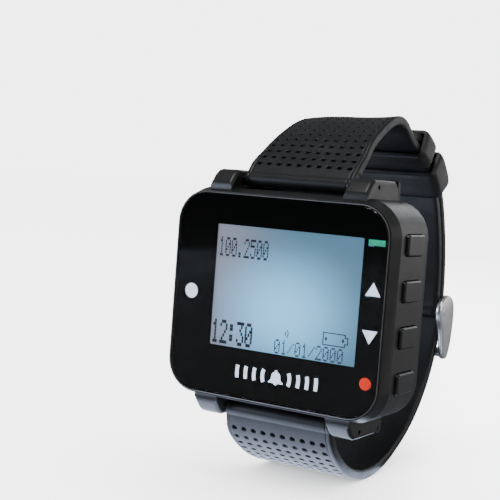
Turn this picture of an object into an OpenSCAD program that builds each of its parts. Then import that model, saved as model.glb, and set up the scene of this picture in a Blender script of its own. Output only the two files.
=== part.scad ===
// Wrist pager: a display case with four side keys on a buckled silicone strap.
// X runs across the display, Y from the display back to the wrist, Z up.

/* [Case] */
// Width of the case across the display
case_w = 53; // [51:0.5:55]
// Height of the case between the strap ends
case_h = 46; // [45:0.25:47]
// Depth of the case from the lens to the wrist
case_d = 17.5; // [17:0.25:18.5]
// Corner radius of the case seen from the front
corner_r = 8; // [7:0.5:9]
// Wall thickness of the front housing
wall = 1.8; // [1.6:0.1:2]
// Depth of the sloped bezel round the lens
bezel_d = 3.4; // [3:0.1:4]
// Inward slope of the bezel on each side
bezel_in = 0.9; // [0.6:0.1:1.2]
// Thickness of the back cover's edge
cover_t = 1.3; // [1.2:0.1:1.5]

/* [Lugs] */
// Gap between the two lugs of a pair
lug_gap = 26.8; // [26.6:0.1:27.2]
// Width of one lug
lug_w = 5.6; // [5:0.1:6]
// How far the lugs stand past the case
lug_out = 4; // [3.8:0.1:4.2]
// Distance of the spring bars behind the lens
bar_y = 6.8; // [6.6:0.1:7]
// Radius of a spring bar's sleeve
bar_r = 0.75; // [0.7:0.01:0.78]

/* [Display] */
// Width of the visible display
view_w = 35; // [34:0.5:36]
// Height of the visible display
view_h = 26.2; // [25:0.2:27]
// Offset of the display to the side of the case centre
view_x = 2; // [1.5:0.1:2.2]
// Offset of the display above the case centre
view_z = 2; // [1.5:0.1:2.2]
// Thickness of the lens
lens_t = 1.2; // [1:0.1:1.2]

/* [Side keys] */
// Distance from one key to the next
key_pitch = 9.46; // [9.2:0.02:9.6]
// Length of a key from front to back
key_l = 8.2; // [7.6:0.1:8.4]
// Height of a key
key_h = 4.3; // [4:0.1:4.5]
// How far a key stands out of the wall
key_proud = 0.7; // [0.6:0.05:0.9]
// Distance from the lens to the front edge of the keys
key_front = 5.7; // [5.6:0.1:6]

/* [Strap] */
// Width of the strap next to the case
strap_w = 26.4; // [26:0.1:26.6]
// Width of the strap at the buckle
strap_end_w = 22.4; // [22:0.1:22.6]
// Thickness of the strap
strap_t = 2.2; // [2:0.1:2.3]
// Gap between the two layers where the strap overlaps
lap_gap = 0.4; // [0.35:0.05:0.6]
// Outer radius of the upper strap where it leaves the case
top_r = 27.4; // [27.3:0.05:27.5]
// Outer radius of the overlap at the top of the wrist
crown_r = 31.6; // [31.5:0.05:31.7]
// Outer radius of the overlap at the far side of the wrist
back_r = 60; // [59:0.5:61]
// Outer radius of the strap under the wrist
low_r = 38.5; // [38.2:0.1:38.8]
// Outer radius of the strap where it leaves the lower lugs
front_r = 30.2; // [30:0.1:30.4]
// Pitch of the adjustment slots along the strap
slot_pitch = 8.5; // [8:0.25:9.5]

/* [Buckle] */
// Thickness of the buckle's side arms
arm_t = 1.6; // [1.4:0.1:1.8]
// Radius of the buckle's crossbar
crossbar_r = 1.2; // [1.1:0.05:1.25]
// Width of the tongue
tongue_w = 1.8; // [1.6:0.1:1.9]
// Thickness of the tongue
tongue_t = 1.1; // [1:0.05:1.2]

/* [Hidden] */
$fn = 64;
eps = 0.01;
run = 0.05;              // running clearance on a radius
seam = 0.03;             // degrees that each arc of the strap runs into the next
half_w = case_w / 2;
half_h = case_h / 2;
in_w = half_w - wall;    // half width of the cavity
in_h = half_h - wall;
in_r = 4.2;              // corner radius of the cavity
split_y = case_d - cover_t;
shelf_y = 1.6;           // front face of the shelf that carries the lens
shelf_t = 1.4;
lens_y0 = 0;
lens_w = case_w - 2 * bezel_in - 0.8;
lens_h = case_h - 2 * bezel_in - 0.8;
lens_r = corner_r - 1.3;
mask_t = 0.15;

bar_z = half_h + 2.4;    // height of a spring bar above the case centre
lug_x = lug_gap / 2 + lug_w / 2;
lug_top = half_h + lug_out;
tube_r = 1.6;            // moulded strap end round a spring bar
tube_w = 24.4;
tip_r = bar_r - 0.3;     // spring bar's pointed ends

key_y = key_front + key_l / 2;
key_rows = [1.5, 0.5, -0.5, -1.5];
key_gap = 0.2;
key_flange = 0.55;
flange_t = 0.9;
icon_x = 22.3;
icon_rows = [for (k = key_rows) k * key_pitch];

boss_x = half_w - 6.1;
boss_z = half_h - 3.9;
boss_r = 2.2;
screw_r = 0.75;
board_y = 6.0;
board_t = 1.0;
rear_y = board_y + board_t;

// The strap's path in the Y-Z plane: round arcs that meet in line.
top_c = [31, 14];
crown_c = [33.5, 9.4];
crown_a = 23.5;
lap = strap_t + lap_gap;
half_t = strap_t / 2;
back_c = crown_c - (back_r - crown_r) * [cos(crown_a), sin(crown_a)];
low_c = back_c + [back_r - low_r, 0];
front_c = low_c - [0, low_r - front_r];
loop_bottom = low_c[1] - low_r;
front_a = 227;
neck_a = 200;
neck_r = 8.35;
neck_c = front_c + (front_r - half_t - neck_r) * [cos(front_a), sin(front_a)];

// The upper strap dips under the tail through a round bend and a hollow one.
dip_a = 95;
bend_r = 12;
hollow_r = 20;
under_r = crown_r - lap - half_t;
bend_c = top_c + (top_r - half_t - bend_r) * [cos(dip_a), sin(dip_a)];
bend_off = bend_c - crown_c;
bend_d = norm(bend_off);
hollow_d = under_r + hollow_r;
join_a = atan2(bend_off[1], bend_off[0])
    - acos((pow(hollow_d, 2) + pow(bend_d, 2) - pow(bend_r + hollow_r, 2)) / (2 * hollow_d * bend_d));
hollow_c = crown_c + hollow_d * [cos(join_a), sin(join_a)];
turn_a = atan2(hollow_c[1] - bend_c[1], hollow_c[0] - bend_c[0]);

hinge_a = -4.3;          // where the upper strap ends at the buckle bar
bar_in = low_r - lap - half_t - 0.55;
buckle_bar = low_c + bar_in * [cos(hinge_a), sin(hinge_a)];
buckle_tube_r = 1.5;
crossbar_at = low_c + (low_r + crossbar_r + 0.3) * [cos(-19), sin(-19)];
arm_x = strap_end_w / 2 + 0.35;
arm_back = buckle_bar[0] + 7.3;
tip_a = 76;              // where the tail of the lower strap ends
keeper_gap = 0.35;
keeper_t = 1.2;
free_a = 62.5;
fixed_a = 42.5;
keeper_in = strap_end_w / 2 + 0.3;
slot_w = 2.6;
slot_l = 5.4;
slot_a0 = -6.7;          // the slot that the tongue goes through

// Widest parts fore and aft, which centre the part on its origin.
origin_x = key_proud / 2;
origin_y = arm_back / 2;

// ---- helpers ----

module place() {
    translate([-origin_x, -origin_y, -loop_bottom]) children();
}

module along_y(y0, y1) {
    translate([0, y1, 0]) rotate([90, 0, 0]) linear_extrude(y1 - y0) children();
}

module along_x(x0, x1) {
    translate([x0, 0, 0]) rotate([90, 0, 90]) linear_extrude(x1 - x0) children();
}

module rounded(w, h, r) {
    square([w - 2 * r, h], center = true);
    square([w, h - 2 * r], center = true);
    for (sx = [-1, 1], sy = [-1, 1])
        translate([sx * (w / 2 - r), sy * (h / 2 - r)]) circle(r);
}

module slab(w, h, r, y0, y1) {
    along_y(y0, y1) rounded(w, h, r);
}

module rod_x(r, x0, x1, at) {
    translate([x0, at[0], at[1]]) rotate([0, 90, 0]) cylinder(r = r, h = x1 - x0);
}

module rod_y(r, y0, y1, x, z) {
    translate([x, y1, z]) rotate([90, 0, 0]) cylinder(r = r, h = y1 - y0);
}

module box(x0, x1, y0, y1, z0, z1) {
    translate([x0, y0, z0]) cube([x1 - x0, y1 - y0, z1 - z0]);
}

// Sector of a flat ring in the Y-Z plane, between two radii and two angles.
module ring_sector(c, r0, r1, from_a, to_a) {
    a0 = from_a - seam;
    a1 = to_a + seam;
    mid = (a0 + a1) / 2;
    translate(c) intersection() {
        difference() {
            circle(r1);
            circle(r0);
        }
        polygon([[0, 0], 2 * r1 * [cos(a0), sin(a0)], 3 * r1 * [cos(mid), sin(mid)],
                 2 * r1 * [cos(a1), sin(a1)]]);
    }
}

// The strap seen from above: wide at the case, narrower from the wrist's side on.
module strap_plan() {
    translate([0, 0, -60]) linear_extrude(120)
        polygon([[-strap_w / 2, -2], [-strap_w / 2, 8], [-strap_end_w / 2, 45], [-strap_end_w / 2, 90],
                 [strap_end_w / 2, 90], [strap_end_w / 2, 45], [strap_w / 2, 8], [strap_w / 2, -2]]);
}

module lug_profile(y1) {
    polygon([[1.6, half_h - 4], [1.6, half_h + 0.9], [3.2, lug_top - 1.1], [4.8, lug_top],
             [y1 - 0.8, lug_top], [y1, lug_top - 0.8], [y1, half_h - 4]]);
}

module lug_set(y0, y1) {
    intersection() {
        for (sx = [-1, 1], sz = [0, 1])
            mirror([0, 0, sz]) along_x(sx * lug_x - lug_w / 2, sx * lug_x + lug_w / 2) lug_profile(y1);
        box(-half_w, half_w, y0, y1, -2 * case_h, 2 * case_h);
    }
}

// ---- case ----

module front_housing() {
    color([0.10, 0.10, 0.11]) difference() {
        union() {
            hull() {
                slab(case_w - 2 * bezel_in, case_h - 2 * bezel_in, corner_r - bezel_in, 0.3, 0.35, $fn = 32);
                slab(case_w, case_h, corner_r, bezel_d - 0.05, bezel_d, $fn = 32);
            }
            slab(case_w, case_h, corner_r, bezel_d, split_y);
            lug_set(0, split_y);
        }
        slab(lens_w + 0.2, lens_h + 0.2, lens_r + 0.1, -1, shelf_y);
        difference() {
            slab(2 * in_w, 2 * in_h, in_r, shelf_y + shelf_t, split_y + 1);
            for (sx = [-1, 1], sz = [-1, 1])
                rod_y(boss_r, board_y + 0.05, split_y - 1.2, sx * boss_x, sz * boss_z);
        }
        for (sx = [-1, 1], sz = [-1, 1])
            rod_y(screw_r + run, 8, split_y, sx * boss_x, sz * boss_z);
        translate([view_x, 0, view_z]) slab(view_w + 4, view_h + 4, 0.6, 0, 6);
        rod_y(1.45, 0, 6, -21.2, 0);
        for (z = icon_rows)
            translate([0, key_y, z]) along_x(in_w - 1, half_w + 1)
                rounded(key_l + 2 * key_gap, key_h + 2 * key_gap, 0.9);
        translate([0, rear_y + 1.4, -11]) along_x(-half_w - 1, -in_w + 1) rounded(3.2, 8.2, 1.5);
        for (sz = [-1, 1])
            rod_x(tip_r + run, -lug_x - lug_w, lug_x + lug_w, [bar_y, sz * bar_z]);
    }
}

module back_cover() {
    color([0.13, 0.13, 0.14]) difference() {
        union() {
            slab(case_w, case_h, corner_r, split_y, case_d - 0.6);
            hull() {
                slab(case_w, case_h, corner_r, case_d - 0.65, case_d - 0.6, $fn = 32);
                slab(case_w - 1.2, case_h - 1.2, corner_r - 0.6, case_d - 0.05, case_d, $fn = 32);
            }
            lug_set(split_y, case_d - 0.1);
            difference() {
                slab(2 * in_w - 2.2, 2 * in_h - 2.2, in_r - 1.1, split_y - 1.1, split_y);
                slab(2 * in_w - 4.6, 2 * in_h - 4.6, in_r - 2.3, split_y - 2, split_y + eps);
            }
        }
        for (sx = [-1, 1], sz = [-1, 1]) {
            rod_y(screw_r + 0.15, split_y - 2, case_d + 1, sx * boss_x, sz * boss_z);
            rod_y(1.6, case_d - 1, case_d + 1, sx * boss_x, sz * boss_z);
        }
        for (k = [0:5])
            rod_y(0.45, split_y - 2, case_d + 1, 13 + 2 * cos(60 * k), -5 + 2 * sin(60 * k));
        rod_y(0.45, split_y - 2, case_d + 1, 13, -5);
    }
}

module front_lens() {
    color([0.10, 0.11, 0.12, 0.5]) {
        slab(lens_w, lens_h, lens_r, lens_y0 + 0.4, lens_t);
        hull() {
            slab(lens_w - 0.8, lens_h - 0.8, lens_r - 0.4, lens_y0, lens_y0 + 0.05, $fn = 32);
            slab(lens_w, lens_h, lens_r, lens_y0 + 0.35, lens_y0 + 0.4, $fn = 32);
        }
    }
}

module icon_shapes() {
    translate([icon_x, icon_rows[0]]) square([3.7, 1.3], center = true);
    translate([icon_x, icon_rows[1]]) polygon([[-1.65, -1.35], [1.65, -1.35], [0, 1.4]]);
    translate([icon_x, icon_rows[2]]) polygon([[-1.65, 1.35], [1.65, 1.35], [0, -1.4]]);
    translate([icon_x, icon_rows[3]]) circle(1.25);
    translate([-21.2, 0]) circle(1.45);
}

module lens_mask() {
    color([0.03, 0.03, 0.03]) difference() {
        slab(lens_w - 0.4, lens_h - 0.4, lens_r - 0.2, lens_t, lens_t + mask_t);
        translate([view_x, 0, view_z]) slab(view_w, view_h, 0.3, 0, 3);
        along_y(0, 3) icon_shapes();
    }
}

module front_icons() {
    color([0.9, 0.9, 0.9]) along_y(lens_t, lens_t + mask_t) icon_shapes();
}

module lens_adhesive() {
    color([0.2, 0.2, 0.2]) difference() {
        slab(lens_w - 0.6, lens_h - 0.6, lens_r - 0.3, lens_t + mask_t, shelf_y);
        slab(lens_w - 3.4, lens_h - 3.4, lens_r - 1.7, 0, 3);
        translate([view_x, 0, view_z]) slab(view_w + 4, view_h + 4, 0.6, 0, 3);
    }
}

module display_glass() {
    color([0.62, 0.70, 0.74]) translate([view_x, 0, view_z])
        slab(view_w + 3.4, view_h + 3.4, 0.4, shelf_y, shelf_y + 1.5);
}

module backlight_panel() {
    color([0.92, 0.94, 0.95]) translate([view_x, 0, view_z])
        slab(view_w + 3, view_h + 3, 0.4, shelf_y + 1.6, shelf_y + 2.9);
}

module display_holder() {
    color([0.85, 0.85, 0.83]) translate([view_x, 0, view_z]) difference() {
        slab(view_w + 7, view_h + 7, 1, shelf_y + shelf_t + 0.05, board_y - 0.05);
        slab(view_w + 3.6, view_h + 3.6, 0.5, 0, 5.2);
        slab(view_w - 2, view_h - 2, 0.5, 0, 7);
    }
}

module light_pipe() {
    color([0.95, 0.95, 0.95]) rod_y(1.35, shelf_y - 0.2, board_y - 1, -21.2, 0);
}

module status_led() {
    color([0.9, 0.95, 0.9]) box(-22.2, -20.2, board_y - 0.9, board_y, -0.7, 0.7);
}

// ---- electronics ----

module main_board() {
    color([0.05, 0.35, 0.18]) difference() {
        translate([-1.1, 0, 0]) slab(2 * in_w - 4.2, 2 * in_h - 1.2, 4.4, board_y, rear_y);
        for (sx = [-1, 1], sz = [-1, 1])
            rod_y(boss_r + 0.6, 0, case_d, sx * boss_x, sz * boss_z);
        for (sz = [-1, 1])
            rod_y(0.8, 0, case_d, 0, sz * (in_h - 2.4));
    }
}

module board_chips() {
    color([0.08, 0.08, 0.08]) {
        box(-16, -9, rear_y, rear_y + 1.2, -2, 5);
        box(-4, 1, rear_y, rear_y + 1.0, 4, 9);
        box(-6, -2, rear_y, rear_y + 0.9, -8, -5);
        for (k = [0:4])
            box(2 + 1.6 * k, 2.8 + 1.6 * k, rear_y, rear_y + 0.5, -9.5, -8);
    }
}

module radio_shield() {
    color([0.75, 0.75, 0.76]) difference() {
        box(9, 17.4, rear_y, rear_y + 2.4, 2, 13);
        box(9.3, 17.1, rear_y - 1, rear_y + 2.1, 2.3, 12.7);
        for (x = [11, 13.2, 15.4], z = [5, 7.5, 10])
            rod_y(0.35, rear_y, rear_y + 4, x, z);
    }
}

module antenna_coil() {
    color([0.80, 0.55, 0.30]) translate([-12, rear_y + 3.2, in_h - 4.4]) rotate([0, 90, 0]) {
        cylinder(r = 1.75, h = 17);
        for (k = [1:12])
            translate([0, 0, k * 1.3]) rotate_extrude() translate([1.8, 0]) circle(0.4);
    }
}

module key_switches() {
    color([0.15, 0.15, 0.16])
        for (z = icon_rows)
            box(in_w - 6.2, in_w - 3.2, rear_y, rear_y + 3.6, z - 2, z + 2);
}

module battery_cell() {
    color([0.75, 0.77, 0.80]) translate([-7, 0, 1]) slab(27, 23, 1.2, rear_y + 2.9, rear_y + 7.4);
}

module charging_socket() {
    color([0.72, 0.73, 0.75]) difference() {
        translate([0, rear_y + 1.4, -11]) along_x(-half_w + 0.6, -in_w + 4.8) rounded(2.7, 7.6, 1);
        translate([0, rear_y + 1.4, -11]) along_x(-half_w - 1, -in_w + 3.4) rounded(1.9, 6.8, 0.7);
    }
}

module buzzer() {
    color([0.1, 0.1, 0.1]) difference() {
        rod_y(4.2, rear_y, split_y - 1.6, 13, -5);
        rod_y(0.9, split_y - 3, split_y, 13, -5);
    }
}

motor_at = [11.2, -15.4];

module motor_can() {
    color([0.78, 0.78, 0.80]) difference() {
        rod_x(2.1, -9, 1, motor_at);
        rod_x(0.4 + run, -2, 2, motor_at);
    }
}

module motor_shaft() {
    color([0.85, 0.85, 0.86]) rod_x(0.4, -1.9, 5.2, motor_at);
}

module motor_weight() {
    color([0.55, 0.55, 0.57]) difference() {
        rod_x(2, 1.6, 4.8, motor_at);
        rod_x(0.4, 1, 6, motor_at);
        box(1, 6, motor_at[0] - 3, motor_at[0] + 3, motor_at[1] + 0.6, motor_at[1] + 4);
    }
}

module case_gasket() {
    color([0.25, 0.25, 0.25]) difference() {
        slab(2 * in_w - 0.1, 2 * in_h - 0.1, in_r, split_y - 1.05, split_y - 0.05);
        slab(2 * in_w - 2.1, 2 * in_h - 2.1, in_r - 1, split_y - 2, split_y + 1);
    }
}

module case_screws() {
    color([0.65, 0.65, 0.66]) for (sx = [-1, 1], sz = [-1, 1]) difference() {
        union() {
            rod_y(screw_r, 9, case_d - 0.9, sx * boss_x, sz * boss_z);
            rod_y(1.45, case_d - 0.95, case_d - 0.15, sx * boss_x, sz * boss_z);
        }
        for (a = [0, 90])
            translate([sx * boss_x, case_d, sz * boss_z]) rotate([0, a, 0])
                cube([1.7, 1.1, 0.35], center = true);
    }
}

// ---- side keys ----

module side_key(row) {
    z = icon_rows[row];
    translate([0, key_y, z]) {
        along_x(in_w - 0.1, half_w + key_proud - 0.3) rounded(key_l, key_h, 0.7);
        hull() {
            along_x(half_w + key_proud - 0.35, half_w + key_proud - 0.3) rounded(key_l, key_h, 0.7, $fn = 24);
            along_x(half_w + key_proud - 0.05, half_w + key_proud)
                rounded(key_l - 0.6, key_h - 0.6, 0.5, $fn = 24);
        }
        along_x(in_w - 0.1 - flange_t, in_w - 0.1)
            rounded(key_l + 2 * key_flange, key_h + 2 * key_flange, 0.9);
    }
    box(in_w - 2.6, in_w - 0.9, rear_y + 1, rear_y + 2.6, z - 1, z + 1);
}

module key_green() { color([0.16, 0.16, 0.17]) side_key(0); }
module key_up() { color([0.16, 0.16, 0.17]) side_key(1); }
module key_down() { color([0.16, 0.16, 0.17]) side_key(2); }
module key_red() { color([0.16, 0.16, 0.17]) side_key(3); }

// ---- strap ----

module lug_bar(side) {
    at = [bar_y, side * bar_z];
    color([0.75, 0.75, 0.77]) {
        rod_x(bar_r, -lug_gap / 2 + 0.3, lug_gap / 2 - 0.3, at);
        rod_x(tip_r, -lug_gap / 2 - lug_w + 1.2, lug_gap / 2 + lug_w - 1.2, at);
    }
}

module upper_spring_bar() { lug_bar(1); }
module lower_spring_bar() { lug_bar(-1); }

module upper_strap() {
    start_a = atan2(bar_z - top_c[1], bar_y - top_c[0]);
    color([0.09, 0.09, 0.10]) difference() {
        union() {
            intersection() {
                along_x(-20, 20) union() {
                    ring_sector(top_c, top_r - strap_t, top_r, dip_a, start_a - 8);
                    ring_sector(bend_c, bend_r - half_t, bend_r + half_t, turn_a, dip_a);
                    ring_sector(hollow_c, hollow_r - half_t, hollow_r + half_t, turn_a + 180, join_a + 180);
                    ring_sector(crown_c, under_r - half_t, under_r + half_t, crown_a, join_a);
                    ring_sector(back_c, back_r - lap - strap_t, back_r - lap, 0, crown_a);
                    ring_sector(low_c, low_r - lap - strap_t, low_r - lap, hinge_a, 0);
                }
                strap_plan();
            }
            along_x(-tube_w / 2, tube_w / 2)
                ring_sector(top_c, top_r - strap_t, top_r, start_a - 8, start_a);
            rod_x(tube_r, -tube_w / 2, tube_w / 2, [bar_y, bar_z]);
            rod_x(buckle_tube_r, -strap_end_w / 2, strap_end_w / 2, buckle_bar);
        }
        rod_x(bar_r + run, -20, 20, [bar_y, bar_z]);
        rod_x(bar_r + run, -20, 20, buckle_bar);
        box(-tongue_w / 2 - 0.3, tongue_w / 2 + 0.3, buckle_bar[0] - 4, buckle_bar[0] + 4,
            buckle_bar[1] - 4, buckle_bar[1] + 2.4);
    }
}

module lower_strap() {
    color([0.09, 0.09, 0.10]) difference() {
        union() {
            intersection() {
                along_x(-20, 20) union() {
                    ring_sector(neck_c, neck_r - half_t, neck_r + half_t, neck_a, front_a);
                    ring_sector(front_c, front_r - strap_t, front_r, front_a, 270);
                    ring_sector(low_c, low_r - strap_t, low_r, -90, 0);
                    ring_sector(back_c, back_r - strap_t, back_r, 0, crown_a);
                    ring_sector(crown_c, crown_r - strap_t, crown_r, crown_a, tip_a);
                }
                strap_plan();
            }
            along_x(-tube_w / 2, tube_w / 2)
                ring_sector(neck_c, neck_r - half_t, neck_r + half_t, 180, neck_a);
            rod_x(tube_r, -tube_w / 2, tube_w / 2, [bar_y, -bar_z]);
        }
        rod_x(bar_r + run, -20, 20, [bar_y, -bar_z]);
        for (k = [-3:2])
            translate([0, low_c[0], low_c[1]]) rotate([slot_a0 + k * slot_pitch * 180 / (PI * low_r), 0, 0])
                translate([0, low_r + 4, 0]) rotate([90, 0, 0]) linear_extrude(8)
                    rounded(slot_w, slot_l, 1.2);
    }
}

// A closed loop round both layers of the strap, on an arc about a centre.
module keeper(c, r, a, half_a, in_gap, out_gap, t) {
    r0 = r - strap_t - in_gap;
    r1 = r + lap + out_gap;
    difference() {
        along_x(-keeper_in - keeper_t, keeper_in + keeper_t)
            ring_sector(c, r0 - t, r1 + t, a - half_a, a + half_a);
        along_x(-keeper_in, keeper_in)
            ring_sector(c, r0, r1, a - 2 * half_a, a + 2 * half_a);
    }
}

module fixed_keeper() {
    color([0.08, 0.08, 0.09]) keeper(crown_c, crown_r - lap, fixed_a, 9.5, 0, 1.1, 1.5);
}

module free_keeper() {
    color([0.08, 0.08, 0.09]) keeper(crown_c, crown_r - lap, free_a, 8.5, keeper_gap, keeper_gap, 1.1);
}

// ---- buckle ----

module buckle_spring_bar() {
    color([0.78, 0.78, 0.80]) {
        rod_x(bar_r, -strap_end_w / 2 - 0.1, strap_end_w / 2 + 0.1, buckle_bar);
        rod_x(tip_r, -arm_x - arm_t + 0.2, arm_x + arm_t - 0.2, buckle_bar);
    }
}

module arm_profile() {
    b = buckle_bar;
    polygon([[b[0] - 1.7, b[1] - 1.6], [b[0] - 1.8, b[1] + 1.0], [b[0] - 0.3, b[1] + 3.1],
             [b[0] + 2.8, b[1] + 4.2], [b[0] + 5.9, b[1] + 3.0], [arm_back, b[1] + 0.2],
             [arm_back - 0.5, b[1] - 7.0], [b[0] + 5.2, b[1] - 11.4], [b[0] + 3.8, b[1] - 12.1],
             [b[0] + 2.2, b[1] - 11.2], [b[0] + 1.6, b[1] - 8.4], [b[0] + 0.4, b[1] - 4.2]]);
}

module buckle_frame() {
    color([0.78, 0.78, 0.80]) difference() {
        union() {
            for (x = [arm_x, -arm_x - arm_t])
                along_x(x, x + arm_t) arm_profile();
            rod_x(crossbar_r, -arm_x - eps, arm_x + eps, crossbar_at);
        }
        rod_x(tip_r + run, -20, 20, buckle_bar);
    }
}

module buckle_tongue() {
    b = buckle_bar;
    t = tongue_t;
    rest_y = crossbar_at[0] + crossbar_r + 0.05;
    color([0.80, 0.80, 0.82]) difference() {
        union() {
            rod_x(1.35, -tongue_w / 2, tongue_w / 2, b);
            along_x(-tongue_w / 2, tongue_w / 2)
                polygon([[b[0] + 0.2, b[1] - 1.2], [b[0] + 1.0, b[1] + 0.2], [rest_y + t, b[1] - 4.4],
                         [rest_y + t, b[1] - 11.9], [rest_y, b[1] - 12.2], [rest_y, b[1] - 4.9]]);
        }
        rod_x(bar_r + run, -20, 20, b);
    }
}

place() front_housing();
place() back_cover();
place() front_lens();
place() lens_mask();
place() front_icons();
place() lens_adhesive();
place() display_glass();
place() backlight_panel();
place() display_holder();
place() light_pipe();
place() status_led();
place() main_board();
place() board_chips();
place() radio_shield();
place() antenna_coil();
place() key_switches();
place() battery_cell();
place() charging_socket();
place() buzzer();
place() motor_can();
place() motor_shaft();
place() motor_weight();
place() case_gasket();
place() case_screws();
place() key_green();
place() key_up();
place() key_down();
place() key_red();
place() upper_spring_bar();
place() lower_spring_bar();
place() upper_strap();
place() lower_strap();
place() fixed_keeper();
place() free_keeper();
place() buckle_spring_bar();
place() buckle_frame();
place() buckle_tongue();
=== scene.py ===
import math
import bmesh
import bpy
from mathutils import Matrix, Vector


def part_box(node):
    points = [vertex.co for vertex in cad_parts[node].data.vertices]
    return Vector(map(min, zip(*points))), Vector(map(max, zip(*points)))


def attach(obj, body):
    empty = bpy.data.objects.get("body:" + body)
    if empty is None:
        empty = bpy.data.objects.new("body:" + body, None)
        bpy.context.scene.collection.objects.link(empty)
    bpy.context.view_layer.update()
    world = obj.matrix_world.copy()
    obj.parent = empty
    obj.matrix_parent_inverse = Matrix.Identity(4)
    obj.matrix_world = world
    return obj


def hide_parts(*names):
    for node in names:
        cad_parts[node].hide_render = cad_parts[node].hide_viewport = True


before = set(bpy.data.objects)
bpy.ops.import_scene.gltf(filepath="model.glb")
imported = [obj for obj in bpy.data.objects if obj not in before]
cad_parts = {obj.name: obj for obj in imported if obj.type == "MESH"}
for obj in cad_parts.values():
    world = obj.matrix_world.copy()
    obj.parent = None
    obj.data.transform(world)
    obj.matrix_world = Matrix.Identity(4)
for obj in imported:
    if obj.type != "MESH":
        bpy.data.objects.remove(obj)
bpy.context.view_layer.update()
print("stage: packed model loaded")

mm = 0.001
caseBody = "pager"

seamDepth = 16.2

# Sizes below are in mm from the middle of the lens's front face: x across, y to the wrist, z up.
lensLow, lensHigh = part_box("front_lens")
caseOrigin = Vector(((lensLow.x + lensHigh.x) / 2, lensLow.y, (lensLow.z + lensHigh.z) / 2))


def place(x, y, z):
    return caseOrigin + Vector((x, y, z)) * mm


# Camera, light and floor.

cameraSettings = {
    "from": (119.64, -208.54, 24.90),
    "lookAt": (-6.6, 0.0, 10.18),
    "lens": 83.05,
    "roll": 4.344,
}


def addCamera(settings):
    camera = bpy.data.cameras.new("mainCamera")
    camera.lens = settings["lens"]
    camera.sensor_width = 36.0
    camera.clip_start = 0.01
    cameraObject = bpy.data.objects.new("mainCamera", camera)
    bpy.context.scene.collection.objects.link(cameraObject)
    eye = place(*settings["from"])
    aim = place(*settings["lookAt"]) - eye
    turn = aim.to_track_quat("-Z", "Y").to_matrix().to_4x4()
    roll = Matrix.Rotation(math.radians(settings["roll"]), 4, "Z")
    cameraObject.matrix_world = Matrix.Translation(eye) @ turn @ roll
    bpy.context.scene.camera = cameraObject


studioSettings = {
    "floorHalf": 9.0,
    "floorColor": (0.60, 0.61, 0.63, 1.0),
    "floorGlow": 4.4,
    "dimFloorColor": (0.30, 0.305, 0.32, 1.0),
    "shadowReach": 0.05,
    "worldColor": (0.93, 0.96, 1.0, 1.0),
    "worldStrength": 0.26,
    "backdropStrength": 4.7,
}

# Each light: name, place and aim in metres from the case, size, power and colour.
studioLights = (
    ("keyLight", (-0.02, -0.30, 0.85), (0, 0.02, 0), 0.50, 5.0, (1.0, 0.98, 0.96)),
    ("sideLight", (0.78, -0.12, 0.32), (0, 0.02, 0), 0.45, 2.4, (1.0, 0.98, 0.95)),
    ("backCard", (0.55, 0.78, 0.12), (0, 0.02, 0), 0.55, 1.4, (1.0, 0.98, 0.95)),
    ("rearFill", (-0.10, 0.90, 0.22), (0, 0.03, 0), 0.45, 1.8, (0.92, 0.96, 1.0)),
    ("frontLight", (-0.60, -0.50, 0.13), (0, 0.0, 0.02), 0.20, 3.6, (0.72, 0.82, 1.0)),
    ("lowCard", (-0.012, 0.008, -0.0400), (-0.012, 0.008, 1.0), 0.060, 0.058, (0.68, 0.78, 1.0)),
)


def addLight(name, spot, aim, size, power, color):
    light = bpy.data.lights.new(name, "AREA")
    light.shape = "SQUARE"
    light.size = size
    light.energy = power
    light.color = color
    lightObject = bpy.data.objects.new(name, light)
    bpy.context.scene.collection.objects.link(lightObject)
    lightObject.visible_camera = False
    start = caseOrigin + Vector(spot)
    direction = caseOrigin + Vector(aim) - start
    turn = direction.to_track_quat("-Z", "Y").to_matrix().to_4x4()
    lightObject.matrix_world = Matrix.Translation(start) @ turn


def addWorld(settings):
    # A white backdrop for the eye, with a dim room for what the object mirrors.
    world = bpy.data.worlds.new("studioWorld")
    world.use_nodes = True
    tree = world.node_tree
    room = tree.nodes["Background"]
    room.inputs["Color"].default_value = settings["worldColor"]
    room.inputs["Strength"].default_value = settings["worldStrength"]
    backdrop = tree.nodes.new("ShaderNodeBackground")
    backdrop.inputs["Color"].default_value = (1, 1, 1, 1)
    backdrop.inputs["Strength"].default_value = settings["backdropStrength"]
    seen = tree.nodes.new("ShaderNodeLightPath").outputs["Is Camera Ray"]
    mixed = tree.nodes.new("ShaderNodeMixShader")
    tree.links.new(seen, mixed.inputs[0])
    tree.links.new(room.outputs[0], mixed.inputs[1])
    tree.links.new(backdrop.outputs[0], mixed.inputs[2])
    tree.links.new(mixed.outputs[0], tree.nodes["World Output"].inputs["Surface"])
    bpy.context.scene.world = world


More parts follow.
